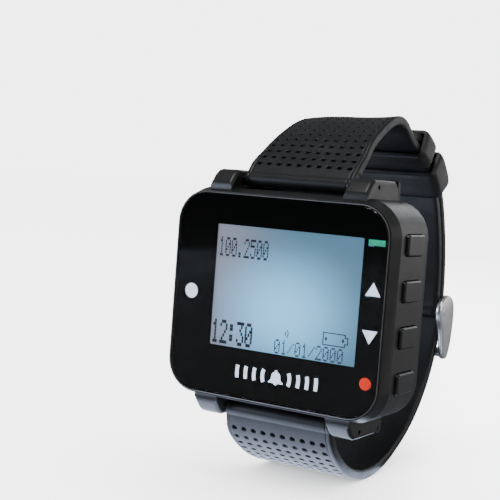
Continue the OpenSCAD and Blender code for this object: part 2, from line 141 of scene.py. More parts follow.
def addFloor(settings):
    half = settings["floorHalf"]
    corners = [(-half, -half, 0), (half, -half, 0), (half, half, 0), (-half, half, 0)]
    mesh = bpy.data.meshes.new("studioFloor")
    mesh.from_pydata(corners, [], [(0, 1, 2, 3)])
    floor = bpy.data.objects.new("studioFloor", mesh)
    bpy.context.scene.collection.objects.link(floor)
    material = bpy.data.materials.new("paleFloor")
    material.use_nodes = True
    tree = material.node_tree
    pale = tree.nodes["Principled BSDF"]
    pale.inputs["Base Color"].default_value = settings["floorColor"]
    pale.inputs["Roughness"].default_value = 0.22
    pale.inputs["Specular IOR Level"].default_value = 0.5
    pale.inputs["Emission Color"].default_value = (1, 1, 1, 1)
    # The floor's glow is dimmed by ambient occlusion near the object: a painted contact shadow.
    paintedContactShadow = tree.nodes.new("ShaderNodeAmbientOcclusion")
    paintedContactShadow.inputs["Distance"].default_value = settings["shadowReach"]
    paintedContactShadow.samples = 8
    glow = tree.nodes.new("ShaderNodeMapRange")
    glow.inputs["To Min"].default_value = settings["floorGlow"] * 0.12
    glow.inputs["To Max"].default_value = settings["floorGlow"]
    tree.links.new(paintedContactShadow.outputs["AO"], glow.inputs["Value"])
    tree.links.new(glow.outputs["Result"], pale.inputs["Emission Strength"])
    dim = tree.nodes.new("ShaderNodeBsdfDiffuse")
    dim.inputs["Color"].default_value = settings["dimFloorColor"]
    seen = tree.nodes.new("ShaderNodeLightPath").outputs["Is Camera Ray"]
    mixed = tree.nodes.new("ShaderNodeMixShader")
    tree.links.new(seen, mixed.inputs[0])
    tree.links.new(dim.outputs[0], mixed.inputs[1])
    tree.links.new(pale.outputs[0], mixed.inputs[2])
    tree.links.new(mixed.outputs[0], tree.nodes["Material Output"].inputs["Surface"])
    mesh.materials.append(material)


addCamera(cameraSettings)
addWorld(studioSettings)
addFloor(studioSettings)
for row in studioLights:
    addLight(*row)
print("stage: camera, light and floor set")


# Shader groups.

def newGroup(name, inputs, outputs):
    tree = bpy.data.node_groups.new(name, "ShaderNodeTree")
    for label, kind, value in inputs:
        socket = tree.interface.new_socket(name=label, in_out="INPUT", socket_type=kind)
        if value is not None:
            socket.default_value = value
    for label, kind in outputs:
        tree.interface.new_socket(name=label, in_out="OUTPUT", socket_type=kind)
    return tree, tree.nodes.new("NodeGroupInput"), tree.nodes.new("NodeGroupOutput")


def mathNode(tree, operation, first, second=None, third=None, clamp=False):
    node = tree.nodes.new("ShaderNodeMath")
    node.operation = operation
    node.use_clamp = clamp
    for index, value in enumerate((first, second, third)):
        if value is None:
            continue
        if isinstance(value, (int, float)):
            node.inputs[index].default_value = value
        else:
            tree.links.new(value, node.inputs[index])
    return node.outputs[0]


def noiseNode(tree, vector, scale, detail=4.0, roughness=0.55):
    node = tree.nodes.new("ShaderNodeTexNoise")
    node.inputs["Detail"].default_value = detail
    node.inputs["Roughness"].default_value = roughness
    tree.links.new(vector, node.inputs["Vector"])
    if isinstance(scale, (int, float)):
        node.inputs["Scale"].default_value = scale
    else:
        tree.links.new(scale, node.inputs["Scale"])
    return node.outputs["Fac"]


def rangeNode(tree, value, low, high, newLow=0.0, newHigh=1.0):
    node = tree.nodes.new("ShaderNodeMapRange")
    node.interpolation_type = "SMOOTHSTEP"
    tree.links.new(value, node.inputs["Value"])
    for label, number in (("From Min", low), ("From Max", high), ("To Min", newLow), ("To Max", newHigh)):
        if isinstance(number, (int, float)):
            node.inputs[label].default_value = number
        else:
            tree.links.new(number, node.inputs[label])
    return node.outputs["Result"]


def mixColor(tree, factor, first, second, blend="MIX"):
    node = tree.nodes.new("ShaderNodeMix")
    node.data_type = "RGBA"
    node.blend_type = blend
    for label, value in ((0, factor), (6, first), (7, second)):
        if isinstance(value, (int, float)):
            node.inputs[label].default_value = value
        elif isinstance(value, tuple):
            node.inputs[label].default_value = value
        else:
            tree.links.new(value, node.inputs[label])
    return node.outputs[2]


def buildGrainGroup():
    # Fine moulded grain: small pits over a slow swell, and a mask for dull patches.
    tree, source, target = newGroup(
        "mouldedGrain",
        [("Vector", "NodeSocketVector", None), ("Scale", "NodeSocketFloat", 9000.0),
         ("Swell", "NodeSocketFloat", 260.0)],
        [("Height", "NodeSocketFloat"), ("Patches", "NodeSocketFloat")])
    fine = noiseNode(tree, source.outputs["Vector"], source.outputs["Scale"], 3.0, 0.6)
    slow = noiseNode(tree, source.outputs["Vector"], source.outputs["Swell"], 2.0, 0.5)
    pits = rangeNode(tree, fine, 0.30, 0.62)
    swell = mathNode(tree, "MULTIPLY", slow, 0.35)
    tree.links.new(mathNode(tree, "ADD", pits, swell), target.inputs["Height"])
    tree.links.new(rangeNode(tree, slow, 0.38, 0.66), target.inputs["Patches"])
    return tree


def buildDustGroup():
    # Specks and faint smears that settle on top of things.
    tree, source, target = newGroup(
        "fineDust",
        [("Vector", "NodeSocketVector", None), ("Scale", "NodeSocketFloat", 2600.0),
         ("Amount", "NodeSocketFloat", 0.3)],
        [("Mask", "NodeSocketFloat")])
    specks = noiseNode(tree, source.outputs["Vector"], source.outputs["Scale"], 2.0, 0.7)
    smears = noiseNode(tree, source.outputs["Vector"], 140.0, 3.0, 0.5)
    sharp = rangeNode(tree, specks, 0.66, 0.78)
    soft = rangeNode(tree, smears, 0.50, 0.85, 0.0, 0.22)
    geometry = tree.nodes.new("ShaderNodeNewGeometry")
    parts = tree.nodes.new("ShaderNodeSeparateXYZ")
    tree.links.new(geometry.outputs["Normal"], parts.inputs[0])
    upward = rangeNode(tree, parts.outputs["Z"], -0.2, 0.9, 0.25, 1.0)
    both = mathNode(tree, "ADD", sharp, soft, clamp=True)
    shown = mathNode(tree, "MULTIPLY", both, upward)
    tree.links.new(mathNode(tree, "MULTIPLY", shown, source.outputs["Amount"]), target.inputs["Mask"])
    return tree


def buildBrushGroup():
    # Hair-fine lines along one direction, for drawn, turned or brushed metal.
    tree, source, target = newGroup(
        "brushLines",
        [("Vector", "NodeSocketVector", None), ("Across", "NodeSocketVector", (9000.0, 600.0, 9000.0))],
        [("Height", "NodeSocketFloat"), ("Streaks", "NodeSocketFloat")])
    scaled = tree.nodes.new("ShaderNodeVectorMath")
    scaled.operation = "MULTIPLY"
    tree.links.new(source.outputs["Vector"], scaled.inputs[0])
    tree.links.new(source.outputs["Across"], scaled.inputs[1])
    lines = noiseNode(tree, scaled.outputs[0], 1.0, 3.0, 0.6)
    tree.links.new(lines, target.inputs["Height"])
    tree.links.new(rangeNode(tree, lines, 0.35, 0.7), target.inputs["Streaks"])
    return tree


grainGroup = buildGrainGroup()
dustGroup = buildDustGroup()
brushGroup = buildBrushGroup()


def placeGroup(tree, group, vector, **values):
    node = tree.nodes.new("ShaderNodeGroup")
    node.node_tree = group
    tree.links.new(vector, node.inputs["Vector"])
    for label, value in values.items():
        node.inputs[label].default_value = value
    return node


def startMaterial(name, settings):
    material = bpy.data.materials.new(name)
    material.use_nodes = True
    tree = material.node_tree
    shader = tree.nodes["Principled BSDF"]
    constants = {"Metallic": "metallic", "Coat Weight": "coat", "Coat Roughness": "coatRoughness",
                 "Specular IOR Level": "specular", "IOR": "ior", "Sheen Weight": "sheen",
                 "Sheen Roughness": "sheenRoughness", "Transmission Weight": "transmission", "Alpha": "alpha"}
    for label, key in constants.items():
        if key in settings:
            shader.inputs[label].default_value = settings[key]
    coordinates = tree.nodes.new("ShaderNodeTexCoord").outputs["Object"]
    return material, tree, shader, coordinates


def addBump(tree, shader, height, strength, distance):
    bump = tree.nodes.new("ShaderNodeBump")
    bump.inputs["Strength"].default_value = strength
    bump.inputs["Distance"].default_value = distance
    tree.links.new(height, bump.inputs["Height"])
    tree.links.new(bump.outputs["Normal"], shader.inputs["Normal"])


def mouldedMaterial(name, settings):
    material, tree, shader, coordinates = startMaterial(name, settings)
    grain = placeGroup(tree, grainGroup, coordinates, Scale=settings["grain"],
                       Swell=settings.get("swell", 260.0))
    dust = placeGroup(tree, dustGroup, coordinates, Amount=settings.get("dust", 0.25))
    body = mixColor(tree, grain.outputs["Patches"], settings["color"], settings["patchColor"])
    dusted = mixColor(tree, dust.outputs["Mask"], body, settings.get("dustColor", (0.42, 0.43, 0.45, 1)))
    tree.links.new(dusted, shader.inputs["Base Color"])
    rough = rangeNode(tree, grain.outputs["Patches"], 0.0, 1.0, settings["rough"][0], settings["rough"][1])
    dustRough = mathNode(tree, "MULTIPLY", dust.outputs["Mask"], 0.25)
    tree.links.new(mathNode(tree, "ADD", rough, dustRough, clamp=True), shader.inputs["Roughness"])
    addBump(tree, shader, grain.outputs["Height"], settings["bump"], settings.get("depth", 0.00002))
    return material


def metalMaterial(name, settings):
    material, tree, shader, coordinates = startMaterial(name, settings)
    brush = placeGroup(tree, brushGroup, coordinates, Across=settings["across"])
    dust = placeGroup(tree, dustGroup, coordinates, Amount=settings.get("dust", 0.15))
    body = mixColor(tree, brush.outputs["Streaks"], settings["color"], settings["streakColor"])
    dusted = mixColor(tree, dust.outputs["Mask"], body, (0.35, 0.34, 0.33, 1))
    tree.links.new(dusted, shader.inputs["Base Color"])
    rough = rangeNode(tree, brush.outputs["Streaks"], 0.0, 1.0, settings["rough"][0], settings["rough"][1])
    dustRough = mathNode(tree, "MULTIPLY", dust.outputs["Mask"], 0.2)
    tree.links.new(mathNode(tree, "ADD", rough, dustRough, clamp=True), shader.inputs["Roughness"])
    addBump(tree, shader, brush.outputs["Height"], settings["bump"], 0.00001)
    return material


def grey(value, warm=0.0):
    return (value + warm, value, value - warm, 1.0)


finishes = {
    "caseSatin": mouldedMaterial("caseSatin", {
        "color": grey(0.009), "patchColor": grey(0.011), "rough": (0.34, 0.38), "grain": 7000.0,
        "bump": 0.16, "specular": 0.40, "dust": 0.05}),
    "coverSatin": mouldedMaterial("coverSatin", {
        "color": grey(0.010), "patchColor": grey(0.012), "rough": (0.44, 0.50), "grain": 5200.0,
        "bump": 0.30, "specular": 0.38, "dust": 0.06}),
    "keySatin": mouldedMaterial("keySatin", {
        "color": grey(0.011), "patchColor": grey(0.013), "rough": (0.30, 0.34), "grain": 9000.0,
        "bump": 0.12, "specular": 0.42, "dust": 0.05}),
    "strapSilicone": mouldedMaterial("strapSilicone", {
        "color": (0.0065, 0.0068, 0.0078, 1), "patchColor": (0.0080, 0.0083, 0.0095, 1),
        "rough": (0.40, 0.46), "grain": 5200.0, "bump": 0.22, "specular": 0.32, "sheen": 0.0,
        "sheenRoughness": 0.45, "dust": 0.07}),
    "keeperSilicone": mouldedMaterial("keeperSilicone", {
        "color": grey(0.006), "patchColor": grey(0.008), "rough": (0.42, 0.48), "grain": 5600.0,
        "bump": 0.20, "specular": 0.40, "sheen": 0.02, "sheenRoughness": 0.45, "dust": 0.06}),
    "buckleSteel": metalMaterial("buckleSteel", {
        "color": (0.72, 0.72, 0.73, 1), "streakColor": (0.80, 0.80, 0.81, 1), "rough": (0.30, 0.34),
        "across": (900.0, 6000.0, 1200.0), "bump": 0.02, "metallic": 1.0, "dust": 0.03}),
    "barSteel": metalMaterial("barSteel", {
        "color": (0.55, 0.55, 0.56, 1), "streakColor": (0.72, 0.72, 0.73, 1), "rough": (0.20, 0.30),
        "across": (12000.0, 900.0, 900.0), "bump": 0.10, "metallic": 1.0}),
    "screwSteel": metalMaterial("screwSteel", {
        "color": (0.42, 0.42, 0.44, 1), "streakColor": (0.56, 0.56, 0.58, 1), "rough": (0.28, 0.40),
        "across": (5000.0, 900.0, 5000.0), "bump": 0.15, "metallic": 1.0}),
    "drawnTin": metalMaterial("drawnTin", {
        "color": (0.60, 0.60, 0.59, 1), "streakColor": (0.74, 0.74, 0.72, 1), "rough": (0.25, 0.42),
        "across": (700.0, 4000.0, 6000.0), "bump": 0.12, "metallic": 1.0}),
    "tungsten": metalMaterial("tungsten", {
        "color": (0.24, 0.24, 0.26, 1), "streakColor": (0.34, 0.34, 0.36, 1), "rough": (0.38, 0.52),
        "across": (6000.0, 6000.0, 6000.0), "bump": 0.25, "metallic": 1.0}),
    "copperWire": metalMaterial("copperWire", {
        "color": (0.62, 0.27, 0.12, 1), "streakColor": (0.78, 0.38, 0.18, 1), "rough": (0.22, 0.34),
        "across": (9000.0, 1200.0, 1200.0), "bump": 0.10, "metallic": 1.0, "coat": 0.5}),
    "foilPouch": metalMaterial("foilPouch", {
        "color": (0.48, 0.50, 0.53, 1), "streakColor": (0.58, 0.60, 0.63, 1), "rough": (0.30, 0.44),
        "across": (900.0, 900.0, 300.0), "bump": 0.3, "metallic": 0.85}),
    # Pale satin for the painted highlight round the lens.
    "paintedHighlightSatin": mouldedMaterial("paintedHighlightSatin", {
        "color": grey(0.085), "patchColor": grey(0.10), "rough": (0.28, 0.34), "grain": 9000.0, "bump": 0.05,
        "specular": 0.7, "dust": 0.0}),
    "maskInk": mouldedMaterial("maskInk", {
        "color": grey(0.012), "patchColor": grey(0.013), "rough": (0.40, 0.45), "grain": 9000.0, "bump": 0.0,
        "specular": 0.05, "dust": 0.0}),
    "adhesiveFoam": mouldedMaterial("adhesiveFoam", {
        "color": grey(0.05), "patchColor": grey(0.07), "rough": (0.75, 0.9), "grain": 3600.0, "bump": 0.6}),
    "gasketRubber": mouldedMaterial("gasketRubber", {
        "color": grey(0.06), "patchColor": grey(0.08), "rough": (0.55, 0.7), "grain": 4200.0, "bump": 0.3}),
    "holderResin": mouldedMaterial("holderResin", {
        "color": (0.60, 0.60, 0.57, 1), "patchColor": (0.68, 0.68, 0.65, 1), "rough": (0.45, 0.55),
        "grain": 5200.0, "bump": 0.2}),
    "clearAcrylic": mouldedMaterial("clearAcrylic", {
        "color": (0.86, 0.89, 0.93, 1), "patchColor": (0.92, 0.94, 0.97, 1), "rough": (0.12, 0.2),
        "grain": 5200.0, "bump": 0.03, "coat": 0.6}),
    "diffuserFilm": mouldedMaterial("diffuserFilm", {
        "color": (0.80, 0.84, 0.86, 1), "patchColor": (0.88, 0.91, 0.93, 1), "rough": (0.35, 0.45),
        "grain": 8000.0, "bump": 0.15}),
    "solderMask": mouldedMaterial("solderMask", {
        "color": (0.010, 0.085, 0.035, 1), "patchColor": (0.014, 0.12, 0.05, 1), "rough": (0.25, 0.4),
        "grain": 3000.0, "bump": 0.35, "coat": 0.4, "swell": 900.0}),
    "chipEpoxy": mouldedMaterial("chipEpoxy", {
        "color": grey(0.022), "patchColor": grey(0.03), "rough": (0.5, 0.62), "grain": 6500.0, "bump": 0.35}),
}
print("stage: finishes built")


# Display.

displaySettings = {
    "width": 35.0, "height": 26.2, "x": 2.0, "z": 2.0,
    "front": 1.60,
    "glow": 1.30, "cellPitch": 0.36, "cellGap": 0.03,
    "leftColor": (0.190, 0.200, 0.255, 1), "rightColor": (0.070, 0.165, 0.245, 1),
    "middleColor": (0.230, 0.640, 1.000, 1),
}


def displayMaterial(settings):
    # Pale in the lower middle, blue-grey towards the edges, with the fine grid of the cells.
    material, tree, shader, coordinates = startMaterial("displayCells", {
        "specular": 0.4, "coat": 0.3, "coatRoughness": 0.15})
    parts = tree.nodes.new("ShaderNodeSeparateXYZ")
    tree.links.new(coordinates, parts.inputs[0])
    centre = place(settings["x"], 0, settings["z"])
    halfWide, halfTall = settings["width"] / 2 * mm, settings["height"] / 2 * mm
    across = mathNode(tree, "DIVIDE", mathNode(tree, "SUBTRACT", parts.outputs["X"], centre.x), halfWide)
    up = mathNode(tree, "DIVIDE", mathNode(tree, "SUBTRACT", parts.outputs["Z"], centre.z), halfTall)
    upShift = mathNode(tree, "MULTIPLY", mathNode(tree, "ADD", up, 0.32), 0.95)
    acrossSquared = mathNode(tree, "POWER", mathNode(tree, "ABSOLUTE", across), 2.0)
    upSquared = mathNode(tree, "POWER", mathNode(tree, "ABSOLUTE", upShift), 2.0)
    distance = mathNode(tree, "SQRT", mathNode(tree, "ADD", acrossSquared, upSquared))
    glow = rangeNode(tree, distance, 0.0, 1.25, 1.0, 0.0)
    sideways = rangeNode(tree, across, -1.0, 0.2)
    edgeColor = mixColor(tree, sideways, settings["leftColor"], settings["rightColor"])
    body = mixColor(tree, glow, edgeColor, settings["middleColor"])
    cells = tree.nodes.new("ShaderNodeTexBrick")
    cells.offset = 0.0
    pitch, white = settings["cellPitch"] * mm, (1, 1, 1, 1)
    for label, value in (("Scale", 1.0), ("Mortar Size", settings["cellGap"] * mm), ("Brick Width", pitch),
                         ("Row Height", pitch), ("Color1", white), ("Color2", white),
                         ("Mortar", (0.90, 0.92, 0.94, 1))):
        cells.inputs[label].default_value = value
    turned = tree.nodes.new("ShaderNodeCombineXYZ")
    tree.links.new(parts.outputs["X"], turned.inputs["X"])
    tree.links.new(parts.outputs["Z"], turned.inputs["Y"])
    tree.links.new(turned.outputs[0], cells.inputs["Vector"])
    gridded = mixColor(tree, 1.0, body, cells.outputs["Color"], "MULTIPLY")
    tree.links.new(gridded, shader.inputs["Base Color"])
    tree.links.new(gridded, shader.inputs["Emission Color"])
    shader.inputs["Emission Strength"].default_value = settings["glow"]
    shader.inputs["Roughness"].default_value = 0.45
    return material


def printedMaterial(name, color, glow):
    # Screen-printed ink with a faint unevenness; its glow is painted light, as no lamp lies behind it.
    material, tree, shader, coordinates = startMaterial(name, {"specular": 0.3})
    grain = placeGroup(tree, grainGroup, coordinates, Scale=6000.0, Swell=900.0)
    darker = tuple(channel * 0.86 for channel in color[:3]) + (1.0,)
    body = mixColor(tree, grain.outputs["Patches"], darker, color)
    tree.links.new(body, shader.inputs["Base Color"])
    tree.links.new(body, shader.inputs["Emission Color"])
    shader.inputs["Emission Strength"].default_value = glow
    shader.inputs["Roughness"].default_value = 0.5
    addBump(tree, shader, grain.outputs["Height"], 0.1, 0.00001)
    return material


def lensMaterial():
    material, tree, shader, coordinates = startMaterial("lensGlass", {
        "transmission": 1.0, "ior": 1.47, "metallic": 0.0})
    smears = noiseNode(tree, coordinates, 90.0, 3.0, 0.5)
    tree.links.new(rangeNode(tree, smears, 0.4, 0.75, 0.0, 0.02), shader.inputs["Roughness"])
    shader.inputs["Base Color"].default_value = (0.96, 0.975, 0.985, 1)
    return material


finishes["displayCells"] = displayMaterial(displaySettings)
finishes["lensGlass"] = lensMaterial()
# The white, green and orange signs glow with painted light.
finishes["inkWhite"] = printedMaterial("inkWhite", (0.74, 0.84, 1.0, 1), 1.5)
finishes["inkGreen"] = printedMaterial("inkGreen", (0.020, 0.52, 0.30, 1), 0.60)
finishes["inkOrange"] = printedMaterial("inkOrange", (1.0, 0.035, 0.003, 1), 0.7)
finishes["segmentInk"] = printedMaterial("segmentInk", (0.020, 0.022, 0.045, 1), 0.0)


def newPiece(name, mesh, finish):
    piece = bpy.data.objects.new(name, mesh)
    bpy.context.scene.collection.objects.link(piece)
    mesh.materials.clear()
    mesh.materials.append(finishes[finish])
    return piece


def smoothMesh(mesh, angle=32.0):
    mesh.polygons.foreach_set("use_smooth", [True] * len(mesh.polygons))
    mesh.set_sharp_from_angle(angle=math.radians(angle))


def closedMesh(name, verts, faces):
    # A mesh from lists of points and faces, with every face turned outwards.
    mesh = bpy.data.meshes.new(name)
    mesh.from_pydata(verts, [], faces)
    work = bmesh.new()
    work.from_mesh(mesh)
    bmesh.ops.recalc_face_normals(work, faces=work.faces)
    work.to_mesh(mesh)
    work.free()
    return mesh


def ringFaces(start, count, ringCount, closed=False):
    # Four-sided faces between rings of points that follow each other, and end caps on an open row of rings.
    faces = []
    for ring in range(ringCount if closed else ringCount - 1):
        after = (ring + 1) % ringCount
        for k in range(count):
            nextK = (k + 1) % count
            faces.append((start + ring * count + k, start + ring * count + nextK,
                          start + after * count + nextK, start + after * count + k))
    if not closed:
        faces.append(tuple(start + k for k in reversed(range(count))))
        faces.append(tuple(start + (ringCount - 1) * count + k for k in range(count)))
    return faces


def prismMesh(name, outlines, frontY, backY):
    # Flat shapes drawn in x and z, given a thickness along y.
    verts, faces = [], []
    for outline in outlines:
        faces += ringFaces(len(verts), len(outline), 2)
        verts += [place(x, y, z) for y in (frontY, backY) for x, z in outline]
    return closedMesh(name, verts, faces)


def discOutline(x, z, radius, count=48):
    return [(x + radius * math.cos(2 * math.pi * k / count), z + radius * math.sin(2 * math.pi * k / count))
            for k in range(count)]


def arcOutline(x, z, radius, width, middle, spread, count=10):
    angles = [math.radians(middle - spread + 2 * spread * k / count) for k in range(count + 1)]
    points = []
    for reach, order in ((radius + width / 2, angles), (radius - width / 2, reversed(angles))):
        points += [(x + reach * math.cos(a), z + reach * math.sin(a)) for a in order]
    return points


def roundedOutline(x, z, width, height, radius, count=6):
    points = []
    for cornerX, cornerZ, start in ((1, 1, 0), (-1, 1, 90), (-1, -1, 180), (1, -1, 270)):
        for k in range(count + 1):
            a = math.radians(start + 90 * k / count)
            points.append((x + cornerX * (width / 2 - radius) + radius * math.cos(a),
                           z + cornerZ * (height / 2 - radius) + radius * math.sin(a)))
    return points


signSettings = {
    "front": 1.17, "back": 1.34,
    "x": 22.3, "rows": (14.35, 4.95, -4.6, -14.1),
    "bellX": 1.6, "bellZ": -16.0,
    "arcRadii": (3.3, 5.4, 7.5, 9.6), "arcWidth": 0.85, "arcHalfTall": 1.35,
}


def bellOutline(x, z):
    # Right half from the top knob down to the rim, mirrored for the left.
    right = [(0.0, 1.62), (0.28, 1.50), (0.34, 1.22), (0.78, 1.00), (1.06, 0.55), (1.14, -0.20),
             (1.34, -0.62), (1.78, -0.98), (1.78, -1.22), (0.42, -1.22), (0.32, -1.50), (0.0, -1.60)]
    left = [(-px, pz) for px, pz in reversed(right[1:-1])]
    return [(x + px, z + pz) for px, pz in right + left]


def addSigns(settings):
    front, back, x = settings["front"], settings["back"], settings["x"]
    barRow, upRow, downRow, dotRow = settings["rows"]
    bellX, bellZ = settings["bellX"], settings["bellZ"]
    arcs = []
    for radius in settings["arcRadii"]:
        spread = math.degrees(math.asin(settings["arcHalfTall"] / radius))
        for middle in (0, 180):
            arcs.append(arcOutline(bellX, bellZ, radius, settings["arcWidth"], middle, spread))
    whites = [
        [(x - 1.7, upRow - 1.3), (x + 1.7, upRow - 1.3), (x, upRow + 1.45)],
        [(x + 1.7, downRow + 1.3), (x - 1.7, downRow + 1.3), (x, downRow - 1.45)],
        discOutline(-21.2, -0.1, 1.62),
        bellOutline(bellX, bellZ)] + arcs
    signs = (
        ("signsWhite", whites, "inkWhite"),
        ("signGreen", [roundedOutline(x, barRow, 3.66, 1.2, 0.12)], "inkGreen"),
        ("signOrange", [discOutline(x - 0.1, dotRow, 1.27)], "inkOrange"))
    for name, outlines, finish in signs:
        piece = newPiece(name, prismMesh(name, outlines, front, back), finish)
        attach(piece, caseBody)
        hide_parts("front_icons")


addSigns(signSettings)

# Each digit of the display is seven rows of five dots, a row as a number from 0 to 31.
digitRows = {
    "0": (14, 17, 19, 21, 25, 17, 14), "1": (4, 12, 4, 4, 4, 4, 14), "2": (14, 17, 1, 2, 4, 8, 31),
    "3": (31, 2, 4, 2, 1, 17, 14), "4": (2, 6, 10, 18, 31, 2, 2), "5": (31, 16, 30, 1, 1, 17, 14),
    "6": (6, 8, 16, 30, 17, 17, 14), "7": (31, 1, 2, 4, 8, 8, 8), "8": (14, 17, 17, 14, 17, 17, 14),
    "9": (14, 17, 17, 15, 1, 2, 12), ".": (0, 0, 0, 0, 0, 12, 12), ":": (0, 12, 12, 0, 12, 12, 0),
    "/": (0, 1, 2, 4, 8, 16, 0),
}

# Lines of numerals: text, left edge and top edge on the display, dot pitch across and up, dot size.
numeralLines = (
    ("100.2500", 0.45, 2.7, 0.262, 0.60, 0.25, 0.50),
    ("12:30", 0.10, 20.6, 0.352, 0.74, 0.42, 0.70),
    ("01/01/2000", 15.9, 23.0, 0.275, 0.44, 0.22, 0.36),
)


def numeralPoints(settings):
    # One point for each lit dot, with the dot's width and height kept on it.
    left = settings["x"] - settings["width"] / 2
    top = settings["z"] + settings["height"] / 2
    points, sizes = [], []
    for text, startX, startZ, pitchX, pitchZ, dotX, dotZ in numeralLines:
        for order, letter in enumerate(text):
            for row, bits in enumerate(digitRows[letter]):
                for column in range(5):
                    if bits >> (4 - column) & 1:
                        points.append((left + startX + (order * 6 + column + 0.5) * pitchX,
                                       top - startZ - (row + 0.5) * pitchZ))
                        sizes.append((dotX, dotZ))
    return points, sizes


def newGeometryTree(name, inputs):
    tree = bpy.data.node_groups.new(name, "GeometryNodeTree")
    tree.interface.new_socket(name="Geometry", in_out="INPUT", socket_type="NodeSocketGeometry")
    for label, kind, value in inputs:
        socket = tree.interface.new_socket(name=label, in_out="INPUT", socket_type=kind)
        if value is not None:
            socket.default_value = value
    tree.interface.new_socket(name="Geometry", in_out="OUTPUT", socket_type="NodeSocketGeometry")
    return tree, tree.nodes.new("NodeGroupInput"), tree.nodes.new("NodeGroupOutput")


def endTree(tree, source, target, geometry):
    realize = tree.nodes.new("GeometryNodeRealizeInstances")
    paint = tree.nodes.new("GeometryNodeSetMaterial")
    tree.links.new(geometry, realize.inputs[0])
    tree.links.new(realize.outputs[0], paint.inputs["Geometry"])
    tree.links.new(source.outputs["Finish"], paint.inputs["Material"])
    tree.links.new(paint.outputs[0], target.inputs[0])


def growPiece(name, base, tree, values):
    # Runs a node tree on a base object and keeps the result as a plain mesh.
    modifier = base.modifiers.new(name, "NODES")
    modifier.node_group = tree
    for item in tree.interface.items_tree:
        if item.in_out == "INPUT" and item.name in values:
            modifier[item.identifier] = values[item.name]
    bpy.context.view_layer.update()
    evaluated = base.evaluated_get(bpy.context.evaluated_depsgraph_get())
    mesh = bpy.data.meshes.new_from_object(evaluated)
    mesh.name = name
    base.modifiers.remove(modifier)
    bpy.data.objects.remove(base)
    piece = bpy.data.objects.new(name, mesh)
    bpy.context.scene.collection.objects.link(piece)
    return piece


def buildDotTree():
    tree, source, target = newGeometryTree("numeralDots", [
        ("Thickness", "NodeSocketFloat", 0.00006), ("Finish", "NodeSocketMaterial", None)])
    box = tree.nodes.new("GeometryNodeMeshCube")
    box.inputs["Size"].default_value = (1, 1, 1)
    spread = tree.nodes.new("GeometryNodeInstanceOnPoints")
    size = tree.nodes.new("GeometryNodeInputNamedAttribute")
    size.data_type = "FLOAT_VECTOR"
    size.inputs["Name"].default_value = "dotSize"
    parts = tree.nodes.new("ShaderNodeSeparateXYZ")
    joined = tree.nodes.new("ShaderNodeCombineXYZ")
    tree.links.new(size.outputs["Attribute"], parts.inputs[0])
    tree.links.new(parts.outputs["X"], joined.inputs["X"])
    tree.links.new(source.outputs["Thickness"], joined.inputs["Y"])
    tree.links.new(parts.outputs["Z"], joined.inputs["Z"])
    tree.links.new(source.outputs["Geometry"], spread.inputs["Points"])
    tree.links.new(box.outputs["Mesh"], spread.inputs["Instance"])
    tree.links.new(joined.outputs[0], spread.inputs["Scale"])
    endTree(tree, source, target, spread.outputs["Instances"])
    return tree


def addNumerals(settings):
    points, sizes = numeralPoints(settings)
    mesh = bpy.data.meshes.new("numeralPoints")
    mesh.from_pydata([place(x, settings["front"] - 0.03, z) for x, z in points], [], [])
    attribute = mesh.attributes.new("dotSize", "FLOAT_VECTOR", "POINT")
    for index, (wide, tall) in enumerate(sizes):
        attribute.data[index].vector = (wide * mm, 0.0, tall * mm)
    base = bpy.data.objects.new("numeralPoints", mesh)
    bpy.context.scene.collection.objects.link(base)
    piece = growPiece("displayNumerals", base, buildDotTree(), {
        "Thickness": 0.00005, "Finish": finishes["segmentInk"]})
    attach(piece, caseBody)


def barOutline(x0, x1, z0, z1):
    return [(x0, z0), (x1, z0), (x1, z1), (x0, z1)]


def addDisplaySigns(settings):
    # Battery outline with its charge mark, and a small radio sign.
    left = settings["x"] - settings["width"] / 2
    low = settings["z"] - settings["height"] / 2
    batteryX, batteryZ, line = left + 27.2, low + 3.5, 0.2
    wide, tall, shoulder = 5.2, 2.7, 0.8
    bars = (  # x from, x to, z from, z to
        (0, wide, 0, line), (0, wide, tall - line, tall), (0, line, 0, tall),
        (wide - line, wide, 0, shoulder), (wide - line, wide, tall - shoulder, tall),
        (wide, wide + 0.45, shoulder - line, shoulder),
        (wide, wide + 0.45, tall - shoulder, tall - shoulder + line),
        (wide + 0.45, wide + 0.65, 0.6, tall - 0.6), (wide - 0.75, wide - 0.35, 1.0, 1.7),
        (0.55, 0.95, 1.15, 1.5), (0.65, 0.85, 0.9, 1.75))
    shapes = [barOutline(batteryX + x0, batteryX + x1, batteryZ + z0, batteryZ + z1)
              for x0, x1, z0, z1 in bars]
    radioX, radioZ = left + 17.9, low + 4.6
    for radius, spread in ((0.55, 50), (1.15, 44)):
        shapes.append(arcOutline(radioX, radioZ, radius, 0.17, 0, spread, 6))
    mesh = prismMesh("displaySigns", shapes, settings["front"] - 0.05, settings["front"])
    piece = newPiece("displaySigns", mesh, "segmentInk")
    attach(piece, caseBody)


addNumerals(displaySettings)
addDisplaySigns(displaySettings)
print("stage: display and signs made")


# Strap.

strapSettings = {
    "thickness": 2.2, "wideHalf": 13.2, "endHalf": 11.2, "taperFrom": 8.0, "taperTo": 45.0,
    "neckHalf": 13.05, "neckLength": 2.9,
    "pitchAcross": 2.45, "pitchAlong": 2.3, "dimpleWide": 1.24, "dimpleTall": 0.86, "dimpleDepth": 0.75,
    "columns": 10, "rows": 11, "firstRow": 5.4, "stepsPerPitch": 16,
    "fineStep": 0.1533, "coarseStep": 0.9, "fineUntil": 33.0,
    "eyeRadius": 1.6, "upperGrooveEnd": 50.0, "lowerGrooveEnd": 150.0,
    "edgeRound": 0.5, "grooveIn": 1.05, "grooveDepth": 0.12,
    "leanIn": 1.5, "rightCurl": 0.7, "leftDroop": 0.8,
}

# Arcs of each strap's middle line in y and z: centre, radius, first and last angle.
topCentre = (31.0, 14.0)
crownCentre = (33.5, 9.4)
backCentre = (7.4555, -1.9245)
lowCentre = (28.9555, -1.9245)
frontCentre = (28.9555, -10.2245)


